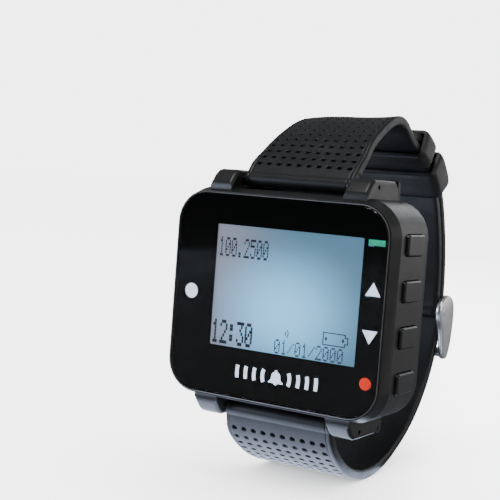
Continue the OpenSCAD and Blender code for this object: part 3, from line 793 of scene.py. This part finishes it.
def strapArcs():
    # The upper strap dips under the tail through a round bend and a hollow one.
    bendRadius, hollowRadius, underRadius, dipAngle = 12.0, 20.0, 27.9, 95.0
    dip = math.radians(dipAngle)
    bend = Vector(topCentre) + (26.3 - bendRadius) * Vector((math.cos(dip), math.sin(dip)))
    offset = bend - Vector(crownCentre)
    reach = underRadius + hollowRadius
    share = (reach ** 2 + offset.length ** 2 - (bendRadius + hollowRadius) ** 2) / (2 * reach * offset.length)
    joinAngle = math.degrees(math.atan2(offset.y, offset.x) - math.acos(share))
    join = math.radians(joinAngle)
    hollow = Vector(crownCentre) + reach * Vector((math.cos(join), math.sin(join)))
    turnAngle = math.degrees(math.atan2(hollow.y - bend.y, hollow.x - bend.x))
    upper = [
        (topCentre, 26.3, 158.3, dipAngle),
        (tuple(bend), bendRadius, dipAngle, turnAngle),
        (tuple(hollow), hollowRadius, turnAngle + 180, joinAngle + 180),
        (crownCentre, underRadius, joinAngle, 23.5),
        (backCentre, 56.3, 23.5, 0.0),
        (lowCentre, 34.8, 0.0, -6.75)]
    neckCentre = (14.803, -25.400)
    lower = [
        (neckCentre, 8.35, 169.0, 227.0),
        (frontCentre, 29.1, 227.0, 270.0),
        (lowCentre, 37.4, -90.0, 0.0),
        (backCentre, 58.9, 0.0, 23.5),
        (crownCentre, 30.5, 23.5, 75.9)]
    return upper, lower


def arcPath(arcs, fineUntil, settings):
    # Points along the arcs, close together where the dimples are. Returns y, z and the length so far.
    points, travelled = [], 0.0
    for centre, radius, start, stop in arcs:
        length = abs(math.radians(stop - start)) * radius
        at = 0.0
        while at < length - 1e-6:
            angle = math.radians(start + (stop - start) * at / length)
            points.append((centre[0] + radius * math.cos(angle), centre[1] + radius * math.sin(angle),
                           travelled + at))
            at += settings["fineStep"] if travelled + at < fineUntil else settings["coarseStep"]
        travelled += length
    centre, radius, _, stop = arcs[-1]
    angle = math.radians(stop)
    points.append((centre[0] + radius * math.cos(angle), centre[1] + radius * math.sin(angle), travelled))
    return points, travelled


def bandSection(settings):
    # The strap cut across at full width: fine steps over the outer face, coarse ones on the inner face.
    half, thick = settings["wideHalf"], settings["thickness"] / 2
    corner, innerSteps = settings["edgeRound"], 26
    step = settings["pitchAcross"] / settings["stepsPerPitch"]
    reach = int((half - corner) / step)

    def corners(quarters):
        points = []
        for x, y, first in quarters:
            for k in range(5):
                a = math.radians(first - 90 * k / 4)
                points.append((x * (half - corner) + corner * math.cos(a),
                               y * (thick - corner) + corner * math.sin(a)))
        return points

    outer = [(k * step, thick) for k in range(-reach, reach + 1)]
    inner = [(half - corner - (2 * half - 2 * corner) * k / innerSteps, -thick) for k in range(1, innerSteps)]
    return outer + corners(((1, 1, 90), (1, -1, 0))) + inner + corners(((-1, -1, 270), (-1, 1, 180)))


def bandMesh(name, path, total, settings, shape):
    # Base grid for the strap: one ring of the section at each point of the path, with its own
    # coordinates kept as attributes, so that the node tree can press the dimples and the groove.
    section = bandSection(settings)
    count = len(section)
    half, thick, corner = settings["wideHalf"], settings["thickness"] / 2, settings["edgeRound"]
    verts, across, along, normals, face = [], [], [], [], []
    for index, (y, z, s) in enumerate(path):
        before, after = path[max(index - 1, 0)], path[min(index + 1, len(path) - 1)]
        tangent = Vector((after[0] - before[0], after[1] - before[1])).normalized()
        outward = Vector((-tangent.y, tangent.x)) * shape["outward"]
        taper = (y - settings["taperFrom"]) / (settings["taperTo"] - settings["taperFrom"])
        wide = shape["wide"](s, total, half + (settings["endHalf"] - half) * min(max(taper, 0.0), 1.0))
        scale, shift = shape["thick"](s, total)
        for u, w in section:
            edge = half - abs(u)
            if edge < corner:
                px = math.copysign(max(wide - edge, 0.0), u)
            else:
                px = u * (wide - corner) / (half - corner)
            lift = w * scale + shift + shape["curl"](s, px / max(wide, 0.1))
            verts.append(place(px, y + outward.x * lift, z + outward.y * lift))
            across.append(px)
            along.append(s)
            normals.append(Vector((0, outward.x, outward.y)))
            face.append(1.0 if w > thick - 1e-4 else 0.0)
    mesh = closedMesh(name, verts, ringFaces(0, count, len(path)))
    for label, values in (("across", across), ("along", along), ("outerFace", face)):
        attribute = mesh.attributes.new(label, "FLOAT", "POINT")
        attribute.data.foreach_set("value", values)
    attribute = mesh.attributes.new("outward", "FLOAT_VECTOR", "POINT")
    attribute.data.foreach_set("vector", [c for n in normals for c in n])
    return mesh


def buildDimpleTree():
    # Presses rows of small oval dimples, and a fine groove along each edge, into the outer face.
    tree, source, target = newGeometryTree("strapDimples", [
        ("Pitch Across", "NodeSocketFloat", 2.45), ("Pitch Along", "NodeSocketFloat", 2.3),
        ("Dimple Half Width", "NodeSocketFloat", 0.62), ("Dimple Half Height", "NodeSocketFloat", 0.43),
        ("Dimple Depth", "NodeSocketFloat", 0.75), ("Field Half Width", "NodeSocketFloat", 12.25),
        ("First Row", "NodeSocketFloat", 5.4), ("Last Row", "NodeSocketFloat", 30.0),
        ("Groove From Edge", "NodeSocketFloat", 1.05), ("Groove Depth", "NodeSocketFloat", 0.12),
        ("Groove End", "NodeSocketFloat", 60.0),
        ("Finish", "NodeSocketMaterial", None)])

    def attribute(label, kind="FLOAT"):
        node = tree.nodes.new("GeometryNodeInputNamedAttribute")
        node.data_type = kind
        node.inputs["Name"].default_value = label
        return node.outputs["Attribute"]

    def cell(value, pitch, start):
        # Distance from the middle of the nearest cell.
        moved = mathNode(tree, "SUBTRACT", value, start)
        share = mathNode(tree, "DIVIDE", moved, pitch)
        fromMiddle = mathNode(tree, "SUBTRACT", share, mathNode(tree, "ROUND", share))
        return mathNode(tree, "MULTIPLY", fromMiddle, pitch)

    def given(label):
        return source.outputs[label]

    def calc(operation, first, second=None):
        return mathNode(tree, operation, first, second)

    def ovalPart(away, size):
        return calc("POWER", calc("DIVIDE", calc("ABSOLUTE", away), size), 2.0)

    across, along, outer = attribute("across"), attribute("along"), attribute("outerFace")
    pitchAcross, pitchAlong = given("Pitch Across"), given("Pitch Along")
    du = cell(across, pitchAcross, calc("MULTIPLY", pitchAcross, 0.5))
    dv = cell(along, pitchAlong, given("First Row"))
    oval = calc("ADD", ovalPart(du, given("Dimple Half Width")), ovalPart(dv, given("Dimple Half Height")))
    pit = rangeNode(tree, calc("SQRT", oval), 0.72, 1.12, 1.0, 0.0)
    insideField = calc("LESS_THAN", calc("ABSOLUTE", across), given("Field Half Width"))
    halfPitch = calc("MULTIPLY", pitchAlong, 0.5)
    afterFirst = calc("GREATER_THAN", along, calc("SUBTRACT", given("First Row"), halfPitch))
    beforeLast = calc("LESS_THAN", along, calc("ADD", given("Last Row"), halfPitch))
    field = calc("MULTIPLY", insideField, calc("MULTIPLY", afterFirst, beforeLast))
    dimples = calc("MULTIPLY", calc("MULTIPLY", pit, field), given("Dimple Depth"))
    offset = calc("ABSOLUTE", calc("SUBTRACT", attribute("fromEdge"), given("Groove From Edge")))
    groove = rangeNode(tree, offset, 0.0, 0.24, 1.0, 0.0)
    grooveOn = calc("MULTIPLY", calc("LESS_THAN", along, given("Groove End")), given("Groove Depth"))
    depth = calc("MULTIPLY", calc("ADD", dimples, calc("MULTIPLY", groove, grooveOn)), outer)
    scaled = tree.nodes.new("ShaderNodeVectorMath")
    scaled.operation = "SCALE"
    tree.links.new(attribute("outward", "FLOAT_VECTOR"), scaled.inputs[0])
    tree.links.new(mathNode(tree, "MULTIPLY", depth, -mm), scaled.inputs["Scale"])
    press = tree.nodes.new("GeometryNodeSetPosition")
    tree.links.new(source.outputs["Geometry"], press.inputs["Geometry"])
    tree.links.new(scaled.outputs[0], press.inputs["Offset"])
    endTree(tree, source, target, press.outputs[0])
    return tree


def eyeThickness(eyeRadius, thick):
    # Thickness factor, with no outward shift, round the moulded eye at the strap's start.
    def shaped(s, total):
        fromBar = s - eyeRadius
        eye = math.sqrt(max(eyeRadius ** 2 - fromBar ** 2, 0.0))
        return max(eye, thick if fromBar > 0 else 0.0, 0.12) / thick, 0.0
    return shaped


def addStrap(name, arcs, settings, shape, grooveEnd):
    path, total = arcPath(arcs, settings["fineUntil"], settings)
    mesh = bandMesh(name, path, total, settings, shape)
    fromEdge = mesh.attributes.new("fromEdge", "FLOAT", "POINT")
    across = [a.value for a in mesh.attributes["across"].data]
    ringCount = len(bandSection(settings))
    distances = []
    for first in range(0, len(across), ringCount):
        ring = [abs(px) for px in across[first:first + ringCount]]
        distances += [max(ring) - px for px in ring]
    fromEdge.data.foreach_set("value", distances)
    base = bpy.data.objects.new(name + "Base", mesh)
    bpy.context.scene.collection.objects.link(base)
    inputs = {
        "Pitch Across": settings["pitchAcross"], "Pitch Along": settings["pitchAlong"],
        "Dimple Half Width": settings["dimpleWide"] / 2, "Dimple Half Height": settings["dimpleTall"] / 2,
        "Dimple Depth": settings["dimpleDepth"], "First Row": settings["firstRow"],
        "Field Half Width": settings["pitchAcross"] * settings["columns"] / 2,
        "Last Row": settings["firstRow"] + settings["pitchAlong"] * (settings["rows"] - 1),
        "Groove From Edge": settings["grooveIn"], "Groove Depth": settings["grooveDepth"],
        "Groove End": grooveEnd, "Finish": finishes["strapSilicone"]}
    piece = growPiece(name, base, dimpleTree, inputs)
    for label in ("across", "along", "outerFace", "outward", "fromEdge"):
        piece.data.attributes.remove(piece.data.attributes[label])
    return piece


def cutPiece(piece, cutters):
    # Cuts closed shapes out of a piece and drops them.
    for cutter in cutters:
        modifier = piece.modifiers.new("cut", "BOOLEAN")
        modifier.object = cutter
        modifier.operation = "DIFFERENCE"
        modifier.solver = "EXACT"
    bpy.context.view_layer.update()
    mesh = bpy.data.meshes.new_from_object(piece.evaluated_get(bpy.context.evaluated_depsgraph_get()))
    piece.modifiers.clear()
    piece.data = mesh
    for cutter in cutters:
        bpy.data.objects.remove(cutter)


def slotCutter(settings, turn):
    # A long hole with round ends, pointing out from the lower arc's centre.
    radius, wide, long, depth = (settings[key] for key in ("radius", "wide", "long", "depth"))
    centre, count = lowCentre, 8
    outline = []
    for side, start in ((1, 0), (-1, 180)):
        for k in range(count + 1):
            a = math.radians(start + 180 * k / count)
            outline.append((wide / 2 * math.cos(a), side * (long - wide) / 2 + wide / 2 * math.sin(a)))
    a = math.radians(settings["first"] + turn)
    outward, along = Vector((math.cos(a), math.sin(a))), Vector((-math.sin(a), math.cos(a)))
    verts = []
    for lift in (radius - depth, radius + depth):
        verts += [place(x, centre[0] + outward.x * lift + along.x * v,
                        centre[1] + outward.y * lift + along.y * v) for x, v in outline]
    mesh = closedMesh("slotCutter", verts, ringFaces(0, len(outline), 2))
    cutter = bpy.data.objects.new("slotCutter", mesh)
    bpy.context.scene.collection.objects.link(cutter)
    return cutter


def smoothStep(low, high, value):
    t = min(max((value - low) / (high - low), 0.0), 1.0)
    return t * t * (3 - 2 * t)


def addStraps(settings):
    upperArcs, lowerArcs = strapArcs()
    thick = settings["thickness"] / 2
    neck = settings["neckLength"] + settings["eyeRadius"]
    startEye = eyeThickness(settings["eyeRadius"], thick)

    def neckWide(s, wide):
        return settings["neckHalf"] + (wide - settings["neckHalf"]) * smoothStep(neck, neck + 0.7, s)

    def upperThick(s, total):
        left = total - s
        eye = math.sqrt(max(1.5 ** 2 - (left - 1.5) ** 2, 0.0))
        if left < 3.0:
            fade = smoothStep(0.0, 3.0, 3.0 - left)
            return max(eye, thick if left > 1.5 else 0.12) / thick, -0.55 * fade
        return startEye(s, total)

    def upperCurl(s, share):
        # The silicone leans in above the case; its right edge curls up and its left edge droops.
        lean = -settings["leanIn"] * smoothStep(2, 11, s) * (1 - smoothStep(18, 34, s))
        edge = (settings["rightCurl"] if share > 0 else -settings["leftDroop"]) * abs(share) ** 2.4
        return lean + edge * smoothStep(6, 16, s) * (1 - smoothStep(34, 46, s))

    upper = addStrap("upperStrap", upperArcs, settings, {
        "outward": 1, "wide": lambda s, total, wide: neckWide(s, wide),
        "thick": upperThick, "curl": upperCurl}, settings["upperGrooveEnd"])

    def tailWide(s, total, wide):
        left = total - s
        tip = 6.0
        if left < tip:
            wide = 4.5 + (wide - 4.5) * math.sqrt(max(1 - ((tip - left) / tip) ** 2.4, 0.0))
        return neckWide(s, wide)

    lower = addStrap("lowerStrap", lowerArcs, settings, {
        "outward": -1, "wide": tailWide,
        "thick": startEye, "curl": lambda s, share: 0.0}, settings["lowerGrooveEnd"])
    return upper, lower


dimpleTree = buildDimpleTree()
upperStrap, lowerStrap = addStraps(strapSettings)
slotSettings = {"radius": 37.4, "first": -6.7, "pitch": 8.5, "wide": 2.6, "long": 5.4, "depth": 2.6}
tongueSlot = {"radius": 34.3, "first": -6.0, "wide": 2.4, "long": 9.2, "depth": 3.4}
slotStep = math.degrees(slotSettings["pitch"] / 38.5)
cutPiece(lowerStrap, [slotCutter(slotSettings, k * slotStep) for k in range(-3, 3)])
cutPiece(upperStrap, [slotCutter(tongueSlot, 0.0)])
for strap, node in ((upperStrap, "upper_strap"), (lowerStrap, "lower_strap")):
    smoothMesh(strap.data, 40.0)
    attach(strap, caseBody)
    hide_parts(node)
print("stage: straps made", len(upperStrap.data.polygons), len(lowerStrap.data.polygons))


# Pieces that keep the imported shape, with softened edges.

softenedPieces = (
    # name, node, body, slot, finish, edge radius, segments
    ("caseShell", "front_housing", caseBody, "case", "caseSatin", 0.30, 3),
    ("frontLens", "front_lens", caseBody, "display", "lensGlass", 0.12, 2),
    ("caseCover", "back_cover", caseBody, "cover", "coverSatin", 0.18, 2),
    ("keyGreen", "key_green", "green_key", "keys", "keySatin", 0.14, 2),
    ("keyUp", "key_up", "up_key", "keys", "keySatin", 0.14, 2),
    ("keyDown", "key_down", "down_key", "keys", "keySatin", 0.14, 2),
    ("keyRed", "key_red", "red_key", "keys", "keySatin", 0.14, 2),
    ("coverScrews", "case_screws", caseBody, "screws", "screwSteel", 0.08, 2),
    ("chargingSocket", "charging_socket", caseBody, "socket", "drawnTin", 0.10, 2),
)


lugSettings = {"from": 23.3, "round": 0.9, "steps": 4, "shortest": 0.75}


def roundLugs(work, settings, alongOnly):
    # Rounds the long outer edges of the strap lugs before the finer softening.
    limit, seam = settings["from"] * mm, caseOrigin.y + seamDepth * mm
    chosen = []
    for edge in work.edges:
        if len(edge.link_faces) != 2 or edge.calc_face_angle(0.0) < math.radians(20):
            continue
        run = edge.verts[1].co - edge.verts[0].co
        if alongOnly and abs(run.y) < 0.9 * run.length:
            continue
        outside = all(abs(vert.co.z - caseOrigin.z) > limit for vert in edge.verts)
        onSeam = all(abs(vert.co.y - seam) < 0.02 * mm for vert in edge.verts)
        if outside and not onSeam and edge.calc_length() > settings["shortest"] * mm:
            chosen.append(edge)
    bmesh.ops.bevel(work, geom=chosen, offset=settings["round"] * mm, offset_type="OFFSET", profile=0.5,
                    segments=settings["steps"], affect="EDGES", clamp_overlap=True)


def softened(name, node, body, slot, finish, width, segments):
    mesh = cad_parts[node].data.copy()
    work = bmesh.new()
    work.from_mesh(mesh)
    bmesh.ops.remove_doubles(work, verts=work.verts, dist=0.000002)
    bmesh.ops.dissolve_limit(work, angle_limit=math.radians(0.6), verts=work.verts, edges=work.edges)
    if name in ("caseShell", "caseCover"):
        roundLugs(work, lugSettings, name == "caseCover")
    work.to_mesh(mesh)
    work.free()
    piece = bpy.data.objects.new(name, mesh)
    bpy.context.scene.collection.objects.link(piece)
    bevel = piece.modifiers.new("edgeRound", "BEVEL")
    bevel.width = width * mm
    bevel.segments = segments
    bevel.limit_method = "ANGLE"
    bevel.angle_limit = math.radians(28)
    bevel.use_clamp_overlap = True
    bevel.miter_outer = "MITER_ARC"
    smoothMesh(mesh, 28.0)
    weighted = piece.modifiers.new("evenShading", "WEIGHTED_NORMAL")
    weighted.keep_sharp = True
    weighted.weight = 80
    bpy.context.view_layer.update()
    result = bpy.data.meshes.new_from_object(piece.evaluated_get(bpy.context.evaluated_depsgraph_get()))
    piece.modifiers.clear()
    piece.data = result
    result.materials.clear()
    result.materials.append(finishes[finish])
    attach(piece, body)
    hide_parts(node)
    return piece


for row in softenedPieces:
    softened(*row)


# Moulded loops on the crown's arc: inner and outer radius, half widths, middle and half angle.
keeperSettings = (
    {"name": "fixedKeeper", "node": "fixed_keeper", "body": caseBody,
     "inner": (26.8, 32.7), "outer": (25.5, 34.0),
     "halfWidths": (11.5, 12.9), "middle": 42.0, "halfAngle": 8.6},
    {"name": "freeKeeper", "node": "free_keeper", "body": "strap_keeper",
     "inner": (26.5, 31.9), "outer": (25.5, 33.1),
     "halfWidths": (11.5, 12.7), "middle": 62.0, "halfAngle": 6.2},
)


def loopOutline(radii, halfWidth, corner, count=7):
    # Rounded rectangle in x and radius.
    middle, half = (radii[0] + radii[1]) / 2, (radii[1] - radii[0]) / 2
    points = []
    for sideX, sideR, start in ((1, 1, 0), (-1, 1, 90), (-1, -1, 180), (1, -1, 270)):
        for k in range(count + 1):
            a = math.radians(start + 90 * k / count)
            points.append((sideX * (halfWidth - corner) + corner * math.cos(a),
                           middle + sideR * (half - corner) + corner * math.sin(a)))
    return points


def addKeeper(settings):
    # Each point of the loop carries a pillow-shaped profile from the inner face round over the outer one.
    inner = loopOutline(settings["inner"], settings["halfWidths"][0], 0.5)
    outer = loopOutline(settings["outer"], settings["halfWidths"][1], 1.9)
    profile = [(-1 + 2 * k / 6, 0.0) for k in range(7)]
    for k in range(1, 20):
        a = math.pi * k / 20
        rise = math.sin(a) ** 0.5
        profile.append((math.copysign(abs(math.cos(a)) ** 0.5, math.cos(a)), rise))
    verts = []
    for (ix, ir), (ox, outR) in zip(inner, outer):
        for t, w in profile:
            angle = math.radians(settings["middle"] + t * settings["halfAngle"])
            px, radius = ix + (ox - ix) * w, ir + (outR - ir) * w
            verts.append(place(px, crownCentre[0] + radius * math.cos(angle),
                               crownCentre[1] + radius * math.sin(angle)))
    mesh = closedMesh(settings["name"], verts, ringFaces(0, len(profile), len(inner), closed=True))
    smoothMesh(mesh, 50.0)
    piece = newPiece(settings["name"], mesh, "keeperSilicone")
    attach(piece, settings["body"])
    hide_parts(settings["node"])


for row in keeperSettings:
    addKeeper(row)


# Buckle outlines in y and z from its pin, to be smoothed; the arms stand either side of the strap.
buckleSettings = {
    "pin": (63.109, -4.492), "armIn": 11.55, "armOut": 13.15, "armRound": 0.6, "barRadius": 1.2,
    "barReach": 40.0, "barAngle": -19,
    "arm": ((-1.75, -1.7), (-1.95, 1.0), (-0.5, 3.3), (2.8, 4.5), (6.1, 3.3), (7.45, 0.2), (6.95, -7.0),
            (5.4, -11.4), (3.8, -12.35), (2.0, -11.4), (1.5, -8.4), (0.3, -4.2)),
    "tongueHalf": 0.90, "tongueRound": 0.35, "tongueThick": 1.10,
}


def smoothOutline(points, passes=2):
    # Cuts each corner at a quarter of its sides, again and again.
    for _ in range(passes):
        cut = []
        for index, (x, y) in enumerate(points):
            afterX, afterY = points[(index + 1) % len(points)]
            cut += [(0.75 * x + 0.25 * afterX, 0.75 * y + 0.25 * afterY),
                    (0.25 * x + 0.75 * afterX, 0.25 * y + 0.75 * afterY)]
        points = cut
    return points


def plateParts(outline, low, high, rounding, start):
    # Plate between two x planes, its rim rounded by rings set in along the outline's own normals.
    area = sum(a[0] * b[1] - b[0] * a[1] for a, b in zip(outline, outline[1:] + outline[:1]))
    sign = 1 if area > 0 else -1
    normals = []
    for index in range(len(outline)):
        before, after = outline[index - 1], outline[(index + 1) % len(outline)]
        along = Vector((after[0] - before[0], after[1] - before[1])).normalized()
        normals.append((along.y * sign, -along.x * sign))
    steps = [math.radians(22.5 * k) for k in range(5)]
    rings = [(low + rounding * (1 - math.sin(a)), rounding * (1 - math.cos(a))) for a in reversed(steps)]
    rings += [(high - rounding * (1 - math.sin(a)), rounding * (1 - math.cos(a))) for a in steps]
    verts = [place(x, y - ny * inset, z - nz * inset)
             for x, inset in rings for (y, z), (ny, nz) in zip(outline, normals)]
    return verts, ringFaces(start, len(outline), len(rings))


def addPlates(name, node, body, plates):
    verts, faces = [], []
    for outline, low, high, rounding in plates:
        moreVerts, moreFaces = plateParts(outline, low, high, rounding, len(verts))
        verts += moreVerts
        faces += moreFaces
    mesh = closedMesh(name, verts, faces)
    smoothMesh(mesh, 35.0)
    piece = newPiece(name, mesh, "buckleSteel")
    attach(piece, body)
    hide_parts(node)


def addBuckle(settings):
    pinY, pinZ = settings["pin"]
    arm = smoothOutline([(pinY + y, pinZ + z) for y, z in settings["arm"]])
    armIn, armOut, rounding = settings["armIn"], settings["armOut"], settings["armRound"]
    reach, turn = settings["barReach"], math.radians(settings["barAngle"])
    barY, barZ = lowCentre[0] + reach * math.cos(turn), lowCentre[1] + reach * math.sin(turn)
    rivet = discOutline(pinY, pinZ, 0.75, 24)
    plates = [
        (arm, armIn, armOut, rounding), (arm, -armOut, -armIn, rounding),
        (discOutline(barY, barZ, settings["barRadius"], 32), -armIn - 0.4, armIn + 0.4, 0.1),
        (rivet, armOut - 0.2, armOut + 0.12, 0.1), (rivet, -armOut - 0.12, -armOut + 0.2, 0.1)]
    addPlates("buckleFrame", "buckle_frame", "buckle", plates)
    rest, thick = barY + settings["barRadius"] + 0.05, settings["tongueThick"]
    blade = smoothOutline([
        (pinY + 0.2, pinZ - 1.3), (pinY + 0.9, pinZ + 0.3), (rest + thick, pinZ - 4.3),
        (rest + thick, pinZ - 7.0), (rest + thick, pinZ - 11.6), (rest + thick / 2, pinZ - 12.5),
        (rest, pinZ - 12.2), (rest, pinZ - 8.0),
        (rest, pinZ - 4.9)])
    half = settings["tongueHalf"]
    plates = [
        (blade, -half, half, settings["tongueRound"]),
        (discOutline(pinY, pinZ, 1.35, 28), -half, half, 0.15)]
    addPlates("buckleTongue", "buckle_tongue", "tongue", plates)


addBuckle(buckleSettings)


# A low rib between each pair of lugs, behind the strap's eye: y and z, mirrored for the lower pair.
ribSettings = {
    "halfWidth": 13.2,
    "upper": ((9.2, 22.6), (9.5, 23.55), (10.1, 23.8), (13.3, 23.8), (14.2, 22.6)),
    "lower": ((9.2, 22.6), (9.6, 24.5), (10.2, 24.9), (13.0, 24.9), (14.2, 22.6)),
}


def addRibs(settings):
    half = settings["halfWidth"]
    verts, faces = [], []
    for side, profile in ((1, settings["upper"]), (-1, settings["lower"])):
        faces += ringFaces(len(verts), len(profile), 2)
        verts += [place(x, y, side * z) for x in (-half, half) for y, z in profile]
    piece = newPiece("caseRibs", closedMesh("caseRibs", verts, faces), "coverSatin")
    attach(piece, caseBody)


addRibs(ribSettings)

# Ring giving the painted highlight round the lens.
edgeHighlightSettings = {"corner": 6.70, "out": 0.10, "in": 0.07, "front": -0.03, "back": 0.30}


def addLensEdgeHighlight(settings):
    # Hair-thin pale ring between the lens and the bezel: a painted highlight in place of the lit chamfer
    # round the lens.
    wide, tall = (lensHigh.x - lensLow.x) / mm, (lensHigh.z - lensLow.z) / mm
    out, inside, corner = settings["out"], settings["in"], settings["corner"]
    outer = roundedOutline(0, 0, wide + 2 * out, tall + 2 * out, corner + out, 16)
    inner = roundedOutline(0, 0, wide - 2 * inside, tall - 2 * inside, corner - inside, 16)
    middle = roundedOutline(0, 0, wide, tall, corner, 16)
    rings = ((outer, settings["back"]), (outer, settings["front"] + 0.05), (middle, settings["front"]),
             (inner, settings["front"] + 0.05), (inner, settings["back"]))
    verts = [place(x, y, z) for outline, y in rings for x, z in outline]
    mesh = closedMesh("lensEdgeHighlight", verts, ringFaces(0, len(outer), len(rings), closed=True))
    smoothMesh(mesh, 50.0)
    piece = newPiece("lensEdgeHighlight", mesh, "paintedHighlightSatin")
    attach(piece, caseBody)


addLensEdgeHighlight(edgeHighlightSettings)
print("stage: keepers and ribs made")


# Pieces kept as packed.

keptFinishes = {
    "lens_mask": "maskInk", "lens_adhesive": "adhesiveFoam", "display_glass": "displayCells",
    "backlight_panel": "diffuserFilm", "display_holder": "holderResin", "light_pipe": "clearAcrylic",
    "status_led": "clearAcrylic", "main_board": "solderMask", "board_chips": "chipEpoxy",
    "radio_shield": "drawnTin",
    "antenna_coil": "copperWire", "key_switches": "chipEpoxy", "battery_cell": "foilPouch",
    "buzzer": "chipEpoxy",
    "motor_can": "drawnTin", "motor_shaft": "barSteel", "motor_weight": "tungsten",
    "case_gasket": "gasketRubber",
    "upper_spring_bar": "barSteel", "lower_spring_bar": "barSteel", "buckle_spring_bar": "barSteel",
}
for node, finish in keptFinishes.items():
    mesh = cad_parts[node].data
    mesh.materials.clear()
    mesh.materials.append(finishes[finish])
    for polygon in mesh.polygons:
        polygon.material_index = 0
print("stage: packed pieces finished")
